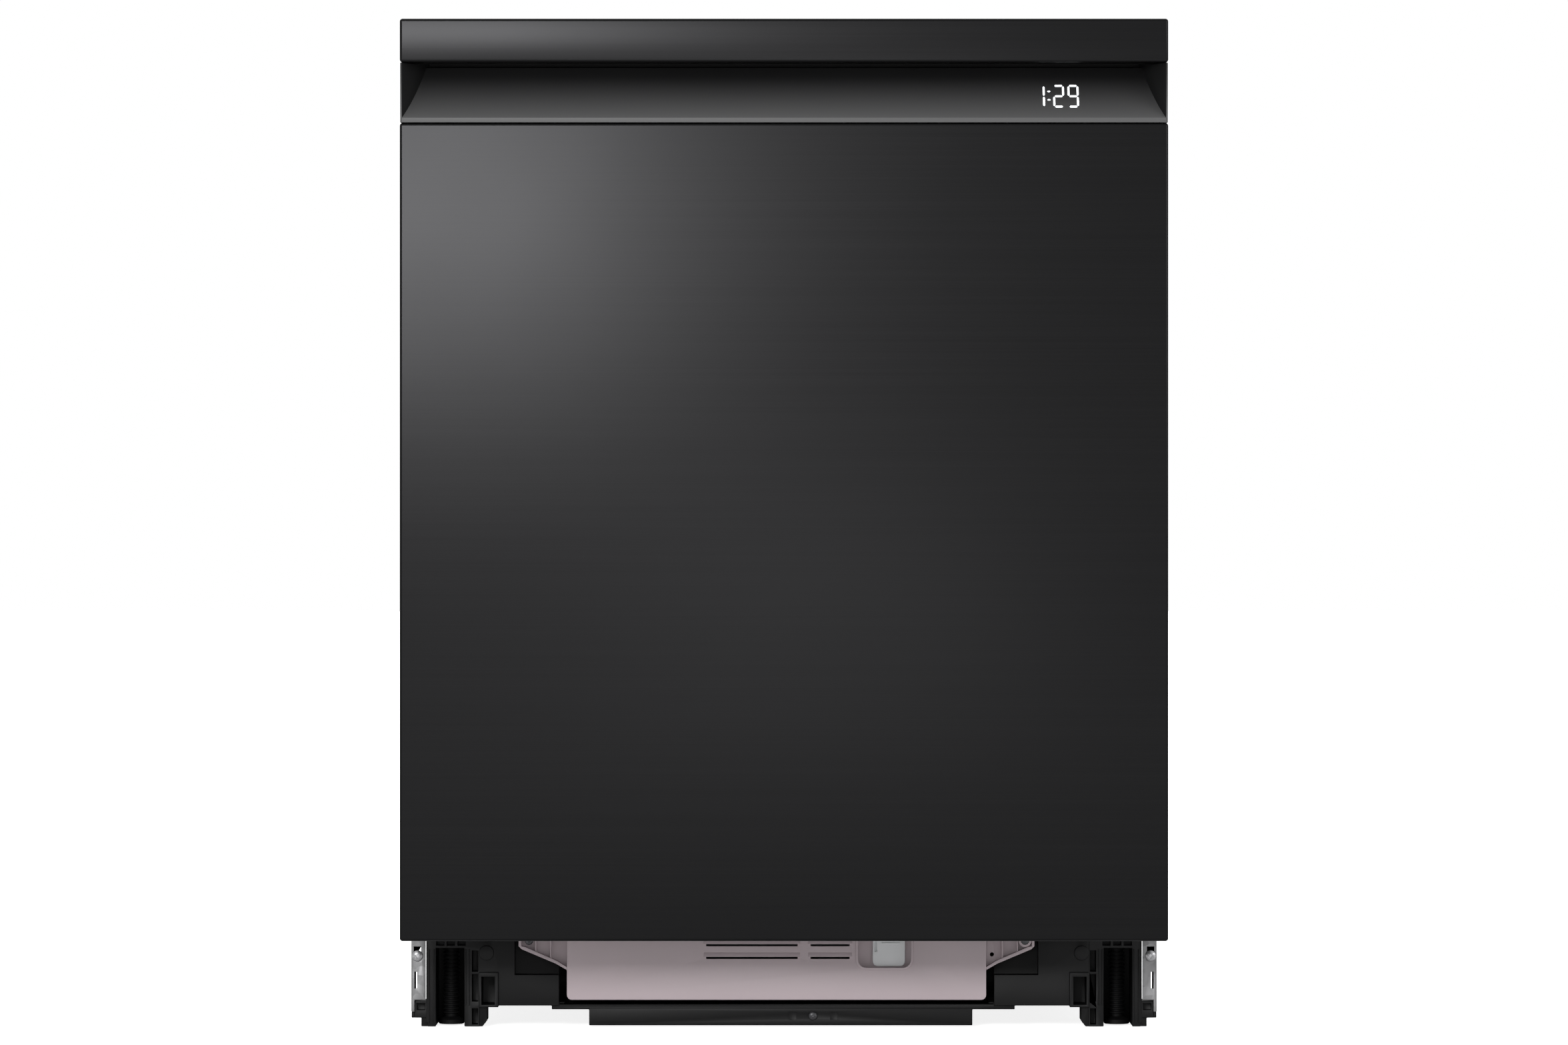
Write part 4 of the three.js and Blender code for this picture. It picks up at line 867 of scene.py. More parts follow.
# a raised rim runs round the clip's recess
rim = start_block(
    "recess_rim",
    (57.6 * mm, cover_face - 0.7 * mm, 45.6 * mm),
    (103.6 * mm, cover_face + 0.6 * mm, 99.2 * mm),
)
choose(rim, "EDGE", lambda place, way: abs(way.y) > 0.9)
bpy.ops.mesh.bevel(offset=8.5 * mm, segments=8, profile=0.5)
done()
choose(rim, "FACE", lambda place, normal: abs(normal.y) > 0.9)
bpy.ops.mesh.delete(type="FACE")
done()
apply_modifier(rim, "SOLIDIFY", thickness=1.8 * mm, offset=-1)
bevel_edges(rim, 0.4 * mm)
details.append(rim)
arm_boss = turned(
    "arm_boss",
    [(0, 0), (4.4 * mm, 0), (5.2 * mm, 0.9 * mm), (5.2 * mm, 4 * mm), (0, 4 * mm)],
    (193.4 * mm, base_face - 1.6 * mm, 69 * mm),
    (0, 1, 0),
)
details.append(arm_boss)
pin_drill = [(0, 0), (1.7 * mm, 0), (1.7 * mm, 12 * mm), (0, 12 * mm)]
cut_with(cover, turned("pin_hole", pin_drill, (167 * mm, base_face - 3 * mm, 57.5 * mm), (0, 1, 0), 20))
cover = join_pieces("service_cover_shell", [cover, *details])
smooth_curves()
fit(cover, "cabinet", "mauve_plastic", mauve_moulding, "service_cover")
for name, x in (("cover_screw_left", -204.6), ("cover_screw_right", 193.4)):
    place = (x * mm, base_face - 1.7 * mm, 69 * mm)
    fit(pan_screw(name, place, 3.4 * mm, 1.7 * mm), "cabinet", "screw_steel", blackened)

# ---------------------------------------------------------------- cover clip
# A springy pale grey clip in acetal holds the cover's lower edge. Its face is a rounded plate with a finger
# slot down one side and grip ridges.

pale_moulding = moulded_plastic("pale_moulding", (0.66, 0.67, 0.68), 0.42, drift=0.1, depth=0.00003)
clip = softened("cover_latch", "cover_clip", 0.5 * mm, 3)
clip_low, clip_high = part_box("cover_latch")
ridges = []
for i in range(5):
    z = 66 * mm + i * 3.4 * mm
    ridge = start_block(
        "grip_ridge",
        (clip_low.x + 7 * mm, clip_low.y - 0.7 * mm, z),
        (clip_high.x - 4 * mm, clip_low.y + 0.4 * mm, z + 1.2 * mm),
    )
    apply_modifier(ridge, "BEVEL", width=0.4 * mm, segments=2)
    ridges.append(ridge)
clip = join_pieces("cover_clip", [clip, *ridges])
smooth_curves()
fit(clip, "cabinet", "pale_grey", pale_moulding, "cover_latch")

# ---------------------------------------------------------------- sound blanket
# A mat of needled felt backed with bitumen wraps the tub's sides, top and back. It is cut from one piece,
# pulled round the corners and taped at its front edges, so it lies a little unevenly between its folds.


def felt_group():
    """Needled felt: short tangled fibres, darker where the needles pressed it down."""
    group, into, out = socket_group(
        "needled_felt",
        [
            ("Color", "NodeSocketColor", (0.05, 0.05, 0.05, 1)),
            ("Fibres", "NodeSocketFloat", 900.0),
            ("Roughness", "NodeSocketFloat", 0.95),
        ],
        [("Color", "NodeSocketColor"), ("Roughness", "NodeSocketFloat"), ("Height", "NodeSocketFloat")],
    )
    new, link = group.nodes.new, group.links.new
    place = new("ShaderNodeTexCoord")
    fibres = new("ShaderNodeTexNoise")
    fibres.inputs["Detail"].default_value = 6.0
    fibres.inputs["Distortion"].default_value = 1.6
    clumps = new("ShaderNodeTexNoise")
    clumps.inputs["Scale"].default_value = 38.0
    clumps.inputs["Detail"].default_value = 5.0
    both = math_node(group, "ADD")
    soft = math_node(group, "MULTIPLY", 0.3)
    tone = new("ShaderNodeMapRange")
    tone.inputs["From Min"].default_value = 0.45
    tone.inputs["From Max"].default_value = 0.85
    tone.inputs["To Min"].default_value = 0.5
    tone.inputs["To Max"].default_value = 1.6
    tint = tint_node(group)
    link(place.outputs["Object"], fibres.inputs["Vector"])
    link(into.outputs["Fibres"], fibres.inputs["Scale"])
    link(place.outputs["Object"], clumps.inputs["Vector"])
    link(fibres.outputs["Fac"], both.inputs[0])
    link(clumps.outputs["Fac"], soft.inputs[0])
    link(soft.outputs["Value"], both.inputs[1])
    link(both.outputs["Value"], tone.inputs["Value"])
    link(into.outputs["Color"], tint.inputs["A"])
    link(tone.outputs["Result"], tint.inputs["B"])
    link(tint.outputs["Result"], out.inputs["Color"])
    link(into.outputs["Roughness"], out.inputs["Roughness"])
    link(both.outputs["Value"], out.inputs["Height"])
    return group


needled_felt = felt_group()
grey_felt, felt_tree, felt_shader = start_material("grey_felt", (0.07, 0.07, 0.075), 0.95)
weave = use_group(felt_tree, needled_felt, Color=(0.05, 0.05, 0.054, 1), Fibres=700.0, Roughness=0.95)
felt_tree.links.new(weave.outputs["Color"], felt_shader.inputs["Base Color"])
felt_tree.links.new(weave.outputs["Roughness"], felt_shader.inputs["Roughness"])
add_bump(felt_tree, felt_shader, weave.outputs["Height"], 0.7, 0.0004)

mat_low, mat_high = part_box("sound_blanket")
mat_cell = 20 * mm
lump = 5.5 * mm
blanket = start_block("sound_mat", mat_low, mat_high)
choose(blanket, "FACE", lambda place, normal: normal.z < -0.9 or normal.y < -0.9)
bpy.ops.mesh.delete(type="FACE")
done()


def on_a_fold(place, way):
    """Whether an edge runs where two of the mat's faces meet."""
    on_top = place.z > mat_high.z - 1 * mm
    on_back = place.y > mat_high.y - 1 * mm
    on_side = abs(place.x) > mat_high.x - 1 * mm
    return on_top + on_back + on_side == 2


choose(blanket, "EDGE", on_a_fold)
bpy.ops.mesh.bevel(offset=9 * mm, segments=4, profile=0.5)
done()
for axis, (low, high) in enumerate(zip(mat_low, mat_high)):
    count = int((high - low) / mat_cell)
    for step in range(1, count):
        at = [low + (high - low) * step / count if i == axis else 0 for i in range(3)]
        choose(blanket, "VERT", lambda place, normal: True)
        bpy.ops.mesh.bisect(plane_co=at, plane_no=[float(i == axis) for i in range(3)])
        done()


def mat_sag(place):
    """How far the mat falls in from its stretched line: gentle swells between the folds."""
    u, v, w = (c / (70 * mm) for c in place)
    swell = math.sin(1.3 * u + 0.7 * w) * math.cos(0.9 * v - 0.5 * u) + 0.5 * math.sin(2.3 * v + 1.9 * w)
    crease = max(0.0, 1 - abs(math.sin(0.55 * u + 0.8 * v + 0.45 * w)) * 6)
    return lump * (0.45 + 0.26 * swell + 0.3 * crease)


room_for_sag = (1.0, 0.8, 0.35)  # over the sides, the back and the top
for corner in blanket.data.vertices:
    share = sum(n * n * room for n, room in zip(corner.normal, room_for_sag))
    inward = corner.normal * mat_sag(corner.co) * share
    if corner.co.y > mat_low.y + 2 * mm and corner.co.z > mat_low.z + 2 * mm:
        corner.co -= inward
apply_modifier(blanket, "SOLIDIFY", thickness=3 * mm, offset=-1)
apply_modifier(blanket, "SUBSURF", levels=1, render_levels=1)
smooth_curves(60)
fit(blanket, "cabinet", "felt", grey_felt, "sound_blanket")

# strips of cloth tape hold the mat's front edges and the joint across its back
tape_cloth = moulded_plastic(
    "tape_cloth", (0.012, 0.012, 0.0125), 0.55, drift=0.3, pebbles=900.0, sheen=0.4
)


def tape_strip(name, low, high, toward):
    """A strip of tape that follows the mat: a thin block cut across and pushed in with the mat under it."""
    strip = start_block(name, low, high)
    axis = max(range(3), key=lambda i: high[i] - low[i])
    for step in range(1, 24):
        at = [low[i] + (high[i] - low[i]) * step / 24 if i == axis else 0 for i in range(3)]
        choose(strip, "VERT", lambda place, normal: True)
        bpy.ops.mesh.bisect(plane_co=at, plane_no=[float(i == axis) for i in range(3)])
        done()
    for corner in strip.data.vertices:
        corner.co -= Vector(toward) * mat_sag(corner.co) * 0.6
    apply_modifier(strip, "SUBSURF", levels=1, render_levels=1, subdivision_type="SIMPLE")
    smooth_curves()
    return strip


strips = []
for side in (-1, 1):
    near, far = sorted((side * (mat_high.x - 2.4 * mm), side * (mat_high.x - 0.2 * mm)))
    start = mat_low.y + 30 * mm
    strips.append(
        tape_strip("tape", (near, start, 170 * mm), (far, start + 46 * mm, 770 * mm), (side, 0, 0))
    )
back_low = (-270 * mm, mat_high.y - 2.4 * mm, 640 * mm)
back_high = (270 * mm, mat_high.y - 0.2 * mm, 686 * mm)
strips.append(tape_strip("tape", back_low, back_high, (0, 1, 0)))
strips = join_pieces("tape_strips", strips)
fit(strips, "cabinet", "felt", tape_cloth)

# ---------------------------------------------------------------- worktop brackets
# Two stepped plates of galvanised steel on the tub's top are screwed up into the worktop, so that the
# machine can't tip when its door is open. Each is stamped and folded from one strip of sheet.

for side in ("left", "right"):
    bracket = softened(f"counter_bracket_{side}", f"worktop_bracket_{side}", 0.25 * mm)
    fit(bracket, "cabinet", "zinc_steel", galvanised, f"counter_bracket_{side}")

# ---------------------------------------------------------------- tub
# The tub is deep drawn and welded from thin stainless sheet, with a flange round its mouth for the seal.
# Long beads pressed into its sides and back keep them from drumming.

tub_stainless = brushed_metal("tub_stainless", (0.5, 0.51, 0.52), (40, 600, 500), 0.3, 0.12, 0.00001)
tub_shell = softened("tub", "tub_shell", 0.6 * mm)
wall_x = 276.8 * mm
rear_y = 283.8 * mm
bead_rise = 1.3 * mm


def pressed_bead(name, low, high, toward):
    """A long shallow bead in a sheet wall: a block with its front face drawn in and its edges rolled."""
    bead = start_block(name, low, high)
    axis = max(range(3), key=lambda i: abs(toward[i]))
    choose(bead, "FACE", lambda place, normal: normal.dot(Vector(toward)) > 0.9)
    bpy.ops.transform.resize(value=[1 if i == axis else 0.82 for i in range(3)])
    done()
    choose(bead, "EDGE", lambda place, way: abs(way[axis]) > 0.2)
    bpy.ops.mesh.bevel(offset=5 * mm, segments=4, profile=0.5)
    done()
    return bead


beads = []
for side in (-1, 1):
    for y in (-150, -60, 30, 120, 210):
        near, far = sorted((side * wall_x, side * (wall_x - bead_rise)))
        beads.append(
            pressed_bead(
                "side_bead", (near, (y - 9) * mm, 330 * mm), (far, (y + 9) * mm, 520 * mm), (-side, 0, 0)
            )
        )
for x in (-230, -180, -130, -80, 80, 130, 180, 230):
    low = (x * mm - 9 * mm, rear_y - bead_rise, 330 * mm)
    beads.append(pressed_bead("back_bead", low, (x * mm + 9 * mm, rear_y, 690 * mm), (0, -1, 0)))
tub_shell = join_pieces("tub_shell", [tub_shell, *beads])
smooth_curves()
fit(tub_shell, "cabinet", "stainless", tub_stainless, "tub")

# ---------------------------------------------------------------- door seal
# One soft rubber profile runs round the tub's mouth: a foot gripped by the flange and a hollow lip that the
# door presses flat.

seal_rubber = moulded_plastic(
    "seal_rubber", (0.008, 0.008, 0.0085), 0.62, drift=0.2, depth=0.00005, sheen=0.3
)
seal = softened("door_gasket", "door_seal", 1.1 * mm, 3)
fit(seal, "cabinet", "rubber", seal_rubber, "door_gasket")

# ---------------------------------------------------------------- latch hook
# A folded steel hook is welded under the tub's ceiling, for the door's latch to close on. It is galvanised
# like the corner posts, and the press leaves its edges slightly rounded.

hook = softened("latch_strike", "latch_hook", 0.3 * mm)
fit(hook, "cabinet", "zinc_steel", galvanised, "latch_strike")

# ---------------------------------------------------------------- levelling feet
# Three threaded feet stand in the base. Each is a moulded screw with a square-section thread and a round
# shoe, and winds down to take the machine's weight.

foot_plastic = moulded_plastic("foot_plastic", (0.004, 0.004, 0.0042), 0.6, drift=0.25, sheen=0.12)
root, crest, pitch = 5.2 * mm, 6.6 * mm, 3.2 * mm
shoe = [(0, 0), (10.2 * mm, 0), (10.7 * mm, 0.6 * mm)]
shoe += [(10.7 * mm, 3.4 * mm), (8.6 * mm, 4.4 * mm), (root, 6 * mm)]
for name in ("foot_front_left", "foot_front_right", "foot_rear"):
    low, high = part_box(name)
    middle = (low + high) / 2
    length = high.z - low.z
    profile = list(shoe)
    height = 8 * mm
    while height < length - 4 * mm:
        profile += [(root, height), (crest, height + 0.6 * mm)]
        profile += [(crest, height + 1.5 * mm), (root, height + 2.1 * mm)]
        height += pitch
    profile += [(root, length - 1 * mm), (root - 1 * mm, length), (0, length)]
    screw = turned(name + "_screw", profile, (middle.x, middle.y, low.z), (0, 0, 1), 24)
    choose(
        screw,
        "VERT",
        lambda place, normal: place.z < low.z + 3.6 * mm and (place - middle).xy.length > 10 * mm,
    )
    bpy.ops.transform.resize(value=(0.96, 0.96, 1), center_override=(middle.x, middle.y, low.z))
    done()
    fit(screw, name, "black_plastic", foot_plastic, name)

# ---------------------------------------------------------------- balance springs
# A close-wound spring on each side pulls on the door's arm so that the door doesn't drop. Each is drawn
# steel wire, and its hooks lie in line with the coil.


def bent_wire(name, runs, thickness, sides=2, closed=False):
    """Round wire bent along one or more runs of points, as curves that are then made a mesh."""
    bpy.ops.object.select_all(action="DESELECT")
    bpy.ops.curve.primitive_bezier_curve_add()
    piece = bpy.context.object
    piece.name = piece.data.name = name
    piece.data.splines.clear()
    piece.data.dimensions = "3D"
    for run in runs:
        spline = piece.data.splines.new("POLY")
        spline.points.add(len(run) - 1)
        for point, place in zip(spline.points, run):
            point.co = (*place, 1)
        spline.use_cyclic_u = closed
    piece.data.bevel_depth = thickness / 2
    piece.data.bevel_resolution = sides
    piece.data.use_fill_caps = True
    bpy.ops.object.convert(target="MESH")
    piece = bpy.context.object
    smooth_curves(50)
    return piece


def rounded(points, radius, steps=4):
    """The same run of straight lengths with each bend taken round a radius."""
    points = [Vector(p) for p in points]
    run = [points[0]]
    for before, at, after in zip(points, points[1:], points[2:]):
        back = min(radius, (before - at).length * 0.49, (after - at).length * 0.49)
        start, end = at + (before - at).normalized() * back, at + (after - at).normalized() * back
        for i in range(steps + 1):
            t = i / steps
            run.append(start.lerp(at, t).lerp(at.lerp(end, t), t))
    return run + [points[-1]]


spring_steel = zinc_plated("spring_steel", (0.3, 0.3, 0.31), 0.38, 500.0, 0.00002)
for side in ("left", "right"):
    low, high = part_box(f"balance_spring_{side}")
    middle = (low + high) / 2
    wire = 2.2 * mm
    coil_radius = (high.x - low.x) / 2 - wire / 2
    coil_start, coil_end = low.y + 8 * mm, high.y - 8 * mm
    turns = int((coil_end - coil_start) / (wire * 1.35))
    coil = []
    for i in range(turns * 12 + 1):
        angle = i * math.tau / 12
        y = coil_start + (coil_end - coil_start) * i / (turns * 12)
        coil.append((middle.x + coil_radius * math.cos(angle), y, middle.z + coil_radius * math.sin(angle)))
    hooks = [
        [coil[0], (middle.x, coil_start - 3 * mm, middle.z), (middle.x, low.y + 1.2 * mm, middle.z)],
        [coil[-1], (middle.x, coil_end + 3 * mm, middle.z), (middle.x, high.y - 1.2 * mm, middle.z)],
    ]
    spring = bent_wire(f"door_spring_{side}", [coil, *(rounded(h, 3 * mm, 3) for h in hooks)], wire, 1)
    fit(spring, "cabinet", "zinc_steel", spring_steel, f"balance_spring_{side}")

# ---------------------------------------------------------------- sump, pumps and connections
# The sump hangs under the tub's floor, with the wash pump and the drain pump on its sides. They are moulded
# in glass-filled polypropylene. The inlet valve and the drain outlet pass through the back of the base.

grey_moulding = moulded_plastic("grey_moulding", (0.22, 0.235, 0.25), 0.45, drift=0.15, depth=0.00004)
white_moulding = moulded_plastic("white_moulding", (0.66, 0.67, 0.68), 0.42, drift=0.08, depth=0.00003)
for node, name, slot, material in (
    ("sump", "sump_bowl", "grey_plastic", grey_moulding),
    ("wash_pump", "wash_pump_case", "white_plastic", white_moulding),
    ("drain_pump", "drain_pump_case", "grey_plastic", grey_moulding),
    ("inlet_valve", "inlet_valve_case", "white_plastic", white_moulding),
    ("drain_spigot", "drain_outlet", "grey_plastic", grey_moulding),
    ("feed_tube", "back_duct", "grey_plastic", grey_moulding),
):
    part = softened(node, name, 0.7 * mm)
    fit(part, "cabinet", slot, material, node)
inlet_low, inlet_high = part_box("inlet_valve")
thread = []
for i in range(4):
    y = inlet_high.y - 3.4 * mm - i * 2.4 * mm
    ring = [(12.7 * mm, 0), (13.1 * mm, 0.5 * mm), (13.1 * mm, 0.9 * mm), (12.7 * mm, 1.5 * mm)]
    thread.append(turned("thread", ring, (inlet_low.x + 18 * mm, y, 72 * mm), (0, -1, 0), 32))
thread = join_pieces("inlet_thread", thread)
fit(thread, "cabinet", "white_plastic", white_moulding)

# ---------------------------------------------------------------- filters
# A flat stainless strainer covers the sump, and a plastic cup of fine mesh locks into it by a quarter turn.
# The strainer is etched through with round holes and pressed to shape.


def hole_pattern_group():
    """Rows of small round holes, as dark spots and dents on a regular grid."""
    group, into, out = socket_group(
        "round_holes",
        [
            ("Color", "NodeSocketColor", (0.5, 0.5, 0.5, 1)),
            ("Holes", "NodeSocketFloat", 300.0),
            ("Size", "NodeSocketFloat", 0.3),
            ("Roughness", "NodeSocketFloat", 0.4),
        ],
        [("Color", "NodeSocketColor"), ("Roughness", "NodeSocketFloat"), ("Height", "NodeSocketFloat")],
    )
    new, link = group.nodes.new, group.links.new
    place = new("ShaderNodeTexCoord")
    flat = new("ShaderNodeMapping")
    flat.inputs["Scale"].default_value = (1, 1, 0.35)
    cells = new("ShaderNodeTexVoronoi")
    cells.inputs["Randomness"].default_value = 0.0
    edge = new("ShaderNodeMapRange")
    edge.inputs["From Max"].default_value = 0.5
    solid = math_node(group, "GREATER_THAN")
    tint = new("ShaderNodeMix")
    tint.data_type = "RGBA"
    tint.inputs["A"].default_value = (0.004, 0.004, 0.004, 1)
    gloss = math_node(group, "ADD")
    wear = new("ShaderNodeTexNoise")
    wear.inputs["Scale"].default_value = 120.0
    drift = math_node(group, "MULTIPLY_ADD", 0.12)
    drift.inputs[2].default_value = -0.06
    link(place.outputs["Object"], flat.inputs["Vector"])
    link(flat.outputs["Vector"], cells.inputs["Vector"])
    link(into.outputs["Holes"], cells.inputs["Scale"])
    link(cells.outputs["Distance"], edge.inputs["Value"])
    link(into.outputs["Size"], edge.inputs["From Min"])
    link(cells.outputs["Distance"], solid.inputs[0])
    link(into.outputs["Size"], solid.inputs[1])
    link(solid.outputs["Value"], tint.inputs["Factor"])
    link(into.outputs["Color"], tint.inputs["B"])
    link(place.outputs["Object"], wear.inputs["Vector"])
    link(wear.outputs["Fac"], drift.inputs[0])
    link(into.outputs["Roughness"], gloss.inputs[0])
    link(drift.outputs["Value"], gloss.inputs[1])
    link(tint.outputs["Result"], out.inputs["Color"])
    link(gloss.outputs["Value"], out.inputs["Roughness"])
    link(edge.outputs["Result"], out.inputs["Height"])
    return group


round_holes = hole_pattern_group()


def perforated(name, color, roughness, metallic, holes, size):
    """Sheet or mesh pierced with small round holes."""
    material, tree, shader = start_material(name, color, roughness, metallic)
    pattern = use_group(tree, round_holes, Color=(*color, 1), Holes=holes, Size=size, Roughness=roughness)
    tree.links.new(pattern.outputs["Color"], shader.inputs["Base Color"])
    tree.links.new(pattern.outputs["Roughness"], shader.inputs["Roughness"])
    add_bump(tree, shader, pattern.outputs["Height"], 0.5, 0.0003)
    return material


strainer = softened("flat_filter", "strainer", 0.4 * mm)
pierced_steel = perforated("pierced_steel", (0.52, 0.53, 0.54), 0.32, 1.0, 330.0, 0.3)
fit(strainer, "cabinet", "stainless", pierced_steel, "flat_filter")
cup_low, cup_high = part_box("cylinder_filter")
cup_middle = ((cup_low + cup_high) / 2).xy
grip_top = cup_high.z
flange = grip_top - 7 * mm
rise = flange - cup_low.z
cup_wall = [(0, 0), (31 * mm, 0), (31 * mm, 3 * mm), (30 * mm, 4 * mm), (30 * mm, 53 * mm)]
cup_wall += [(31 * mm, 54 * mm), (31 * mm, rise - 3 * mm), (36 * mm, rise - 3 * mm)]
cup_wall += [(36 * mm, rise - 0.6 * mm), (35.4 * mm, rise), (28.6 * mm, rise)]
cup_wall += [(28 * mm, rise - 0.6 * mm), (28 * mm, 3 * mm), (0, 3 * mm)]
cup = turned("filter_cup", cup_wall, (*cup_middle, cup_low.z), (0, 0, 1), 40)
grip = start_block(
    "filter_grip",
    (cup_middle.x - 31 * mm, cup_middle.y - 3 * mm, flange - 3 * mm),
    (cup_middle.x + 31 * mm, cup_middle.y + 3 * mm, grip_top),
)
choose(grip, "FACE", lambda place, normal: normal.z > 0.9)
bpy.ops.transform.resize(value=(0.86, 0.6, 1))
done()
round_edges(grip, 1.1 * mm, 3, 20)
mesh_cup = perforated("filter_mesh", (0.2, 0.21, 0.22), 0.5, 0.0, 620.0, 0.27)
fit(cup, "cylinder_filter", "grey_plastic", mesh_cup, "cylinder_filter")
fit(grip, "cylinder_filter", "grey_plastic", grey_moulding)

# ---------------------------------------------------------------- spray arms
# Three hollow polypropylene arms turn by the push of their own jets. Each is two mouldings welded together,
# with oval nozzles standing up in two lines along its blades.

arm_plastic = moulded_plastic("arm_plastic", (0.3, 0.32, 0.34), 0.4, drift=0.15, depth=0.00003)
nozzle_rim = [(5.2 * mm, -1 * mm), (5.2 * mm, 0.1 * mm), (4.4 * mm, 0.9 * mm), (2.2 * mm, 1 * mm)]
nozzle_rim += [(1.4 * mm, 0.5 * mm), (0.9 * mm, -1.4 * mm), (0, -1.4 * mm)]
for node, hub_rise, spots in (
    ("lower_spray_arm", 4, (44, 78, 112, 146, 180, 210)),
    ("middle_spray_arm", 6, (44, 80, 116, 152, 190)),
    ("top_spray_arm", 6, (36, 68, 100, 132, 160)),
):
    arm_low, arm_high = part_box(node)
    axis_y = (arm_low.y + arm_high.y) / 2
    reach = arm_high.x
    blade_top = arm_high.z - hub_rise * mm
    arm = softened(node, node + "_shell", 1.6 * mm, 3)
    nozzles = []
    for side in (-1, 1):
        for i, spot in enumerate(spots):
            x = side * spot * mm
            t = spot * mm / reach
            y = axis_y + side * 10 * mm * math.sin(t * math.pi) + (3.5 if i % 2 else -3.5) * mm * (1 - t)
            nozzle = turned("nozzle", nozzle_rim, (x, y, blade_top), (0, 0, 1), 20)
            choose(nozzle, "VERT", lambda place, normal: True)
            bpy.ops.transform.resize(value=(1.35, 0.72, 1), center_override=(x, y, blade_top))
            done()
            nozzles.append(nozzle)
    arm = join_pieces(node + "_shell", [arm, *nozzles])
    smooth_curves()
    fit(arm, node, "grey_plastic", arm_plastic, node)
rack_duct = softened("rack_feed_tube", "rack_duct", 1.2 * mm, 3)
fit(rack_duct, "upper_rack", "grey_plastic", grey_moulding, "rack_feed_tube")

# ---------------------------------------------------------------- rack rails
# Roll-formed stainless channels on the tub's sides carry the upper rack's sliders. The tray above runs on
# moulded ledges.

rail_steel = brushed_metal("rail_steel", (0.5, 0.51, 0.52), (500, 30, 500), 0.28, 0.1, 0.00001)
for side in ("left", "right"):
    rail = softened(f"upper_rail_{side}", f"rail_{side}", 0.6 * mm)
    fit(rail, "cabinet", "stainless", rail_steel, f"upper_rail_{side}")
    slider = softened(f"upper_slider_{side}", f"slider_{side}", 0.6 * mm)
    fit(slider, "upper_sliders", "stainless", rail_steel, f"upper_slider_{side}")
    ledge = softened(f"tray_rail_{side}", f"tray_ledge_{side}", 0.5 * mm)
    fit(ledge, "cabinet", "grey_plastic", grey_moulding, f"tray_rail_{side}")

# ---------------------------------------------------------------- wire racks and tray
# The racks are spot-welded from drawn steel wire and dipped in grey nylon, which rounds each joint and end.
# U-shaped wires hang from the rim and cross under the wires of the floor.

nylon_coat = moulded_plastic(
    "nylon_coat", (0.17, 0.18, 0.19), 0.34, drift=0.2, pebbles=500.0, depth=0.00008
)
side_wire = 3.4 * mm
rack_corner = 20 * mm
tine_height = 79.4 * mm


def ring_of(half, y_low, y_high, z, radius):
    """A rectangle of points at one height with rounded corners, for a closed wire."""
    corners = ((half, y_high), (-half, y_high), (-half, y_low), (half, y_low))
    ring = []
    for i, (x, y) in enumerate(corners):
        for step in range(7):
            angle = math.pi / 2 * (i + step / 6)
            across = x - math.copysign(radius, x) + radius * math.cos(angle)
            along = y - math.copysign(radius, y - (y_low + y_high) / 2) + radius * math.sin(angle)
            ring.append((across, along, z))
    return ring


def even(first, last, pitch):
    """Evenly spaced places from first to last, about a pitch apart."""
    count = max(1, round((last - first) / pitch))
    return [first + (last - first) * i / count for i in range(count + 1)]


def wire_rack(name, node, floor_z, rim_z, half, cross_ys, along_xs):
    """A wire basket: rim, floor frame, U-shaped wires across and along, and a belt round a deep one."""
    low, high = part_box(node)
    y_low, y_high = low.y + 3 * mm, high.y - 3 * mm
    rim_ring = ring_of(half, y_low, y_high, rim_z, rack_corner)
    floor_ring = ring_of(half, y_low, y_high, floor_z, rack_corner)
    rings = [
        bent_wire("rim", [rim_ring], 6 * mm, 3, True),
        bent_wire("floor_frame", [floor_ring], 5 * mm, 2, True),
    ]
    under, over = floor_z - 2.2 * mm, floor_z + 0.5 * mm
    runs = []
    for y in cross_ys:
        bend = [(-half, y, rim_z), (-half, y, under), (half, y, under), (half, y, rim_z)]
        runs.append(rounded(bend, 7 * mm, 3))
    for x in along_xs:
        bend = [(x, y_low, rim_z), (x, y_low, over), (x, y_high, over), (x, y_high, rim_z)]
        runs.append(rounded(bend, 7 * mm, 3))
    if rim_z - floor_z > 60 * mm:
        belt_ring = ring_of(half, y_low, y_high, (floor_z + rim_z) / 2, rack_corner)
        rings.append(bent_wire("belt", [belt_ring], side_wire, 1, True))
    return join_pieces(name, [*rings, bent_wire("wires", runs, side_wire, 1)])


def tine_points(x, y, z):
    """One tine: straight up from its rod."""
    return [(x, y, z), (x, y, z + tine_height * 0.6), (x, y, z + tine_height)]


lower_floor, lower_rim, lower_half = 202 * mm, 320 * mm, 252 * mm
tine_ys = [(-194 + 36 * i) * mm for i in range(12)]
cross_ys = [-212 * mm, *(y + 18 * mm for y in tine_ys), 238 * mm]
lower_basket = wire_rack(
    "lower_basket",
    "lower_rack",
    lower_floor,
    lower_rim,
    lower_half,
    cross_ys,
    [x * mm for x in (-222, -158, -127.7, -60, -36, 36, 61.7, 86, 140, 182.5, 218)],
)
rod_z = lower_floor + 7 * mm
folding_xs = (-89.33 * mm, 11.33 * mm)
rod_bore = [(0, -5 * mm), (2.7 * mm, -5 * mm), (2.7 * mm, 5 * mm), (0, 5 * mm)]
fittings = []
for x in folding_xs:
    for y in (-176 * mm, 184 * mm):
        clip_low = (x - 5 * mm, y - 3 * mm, lower_floor - 3 * mm)
        clip_high = (x + 5 * mm, y + 3 * mm, rod_z + 5 * mm)
        clip = start_block("tine_clip", clip_low, clip_high)
        round_edges(clip, 1.2 * mm, 3)
        cut_with(clip, turned("bore", rod_bore, (x, y, rod_z), (0, 1, 0), 24))
        fittings.append(clip)
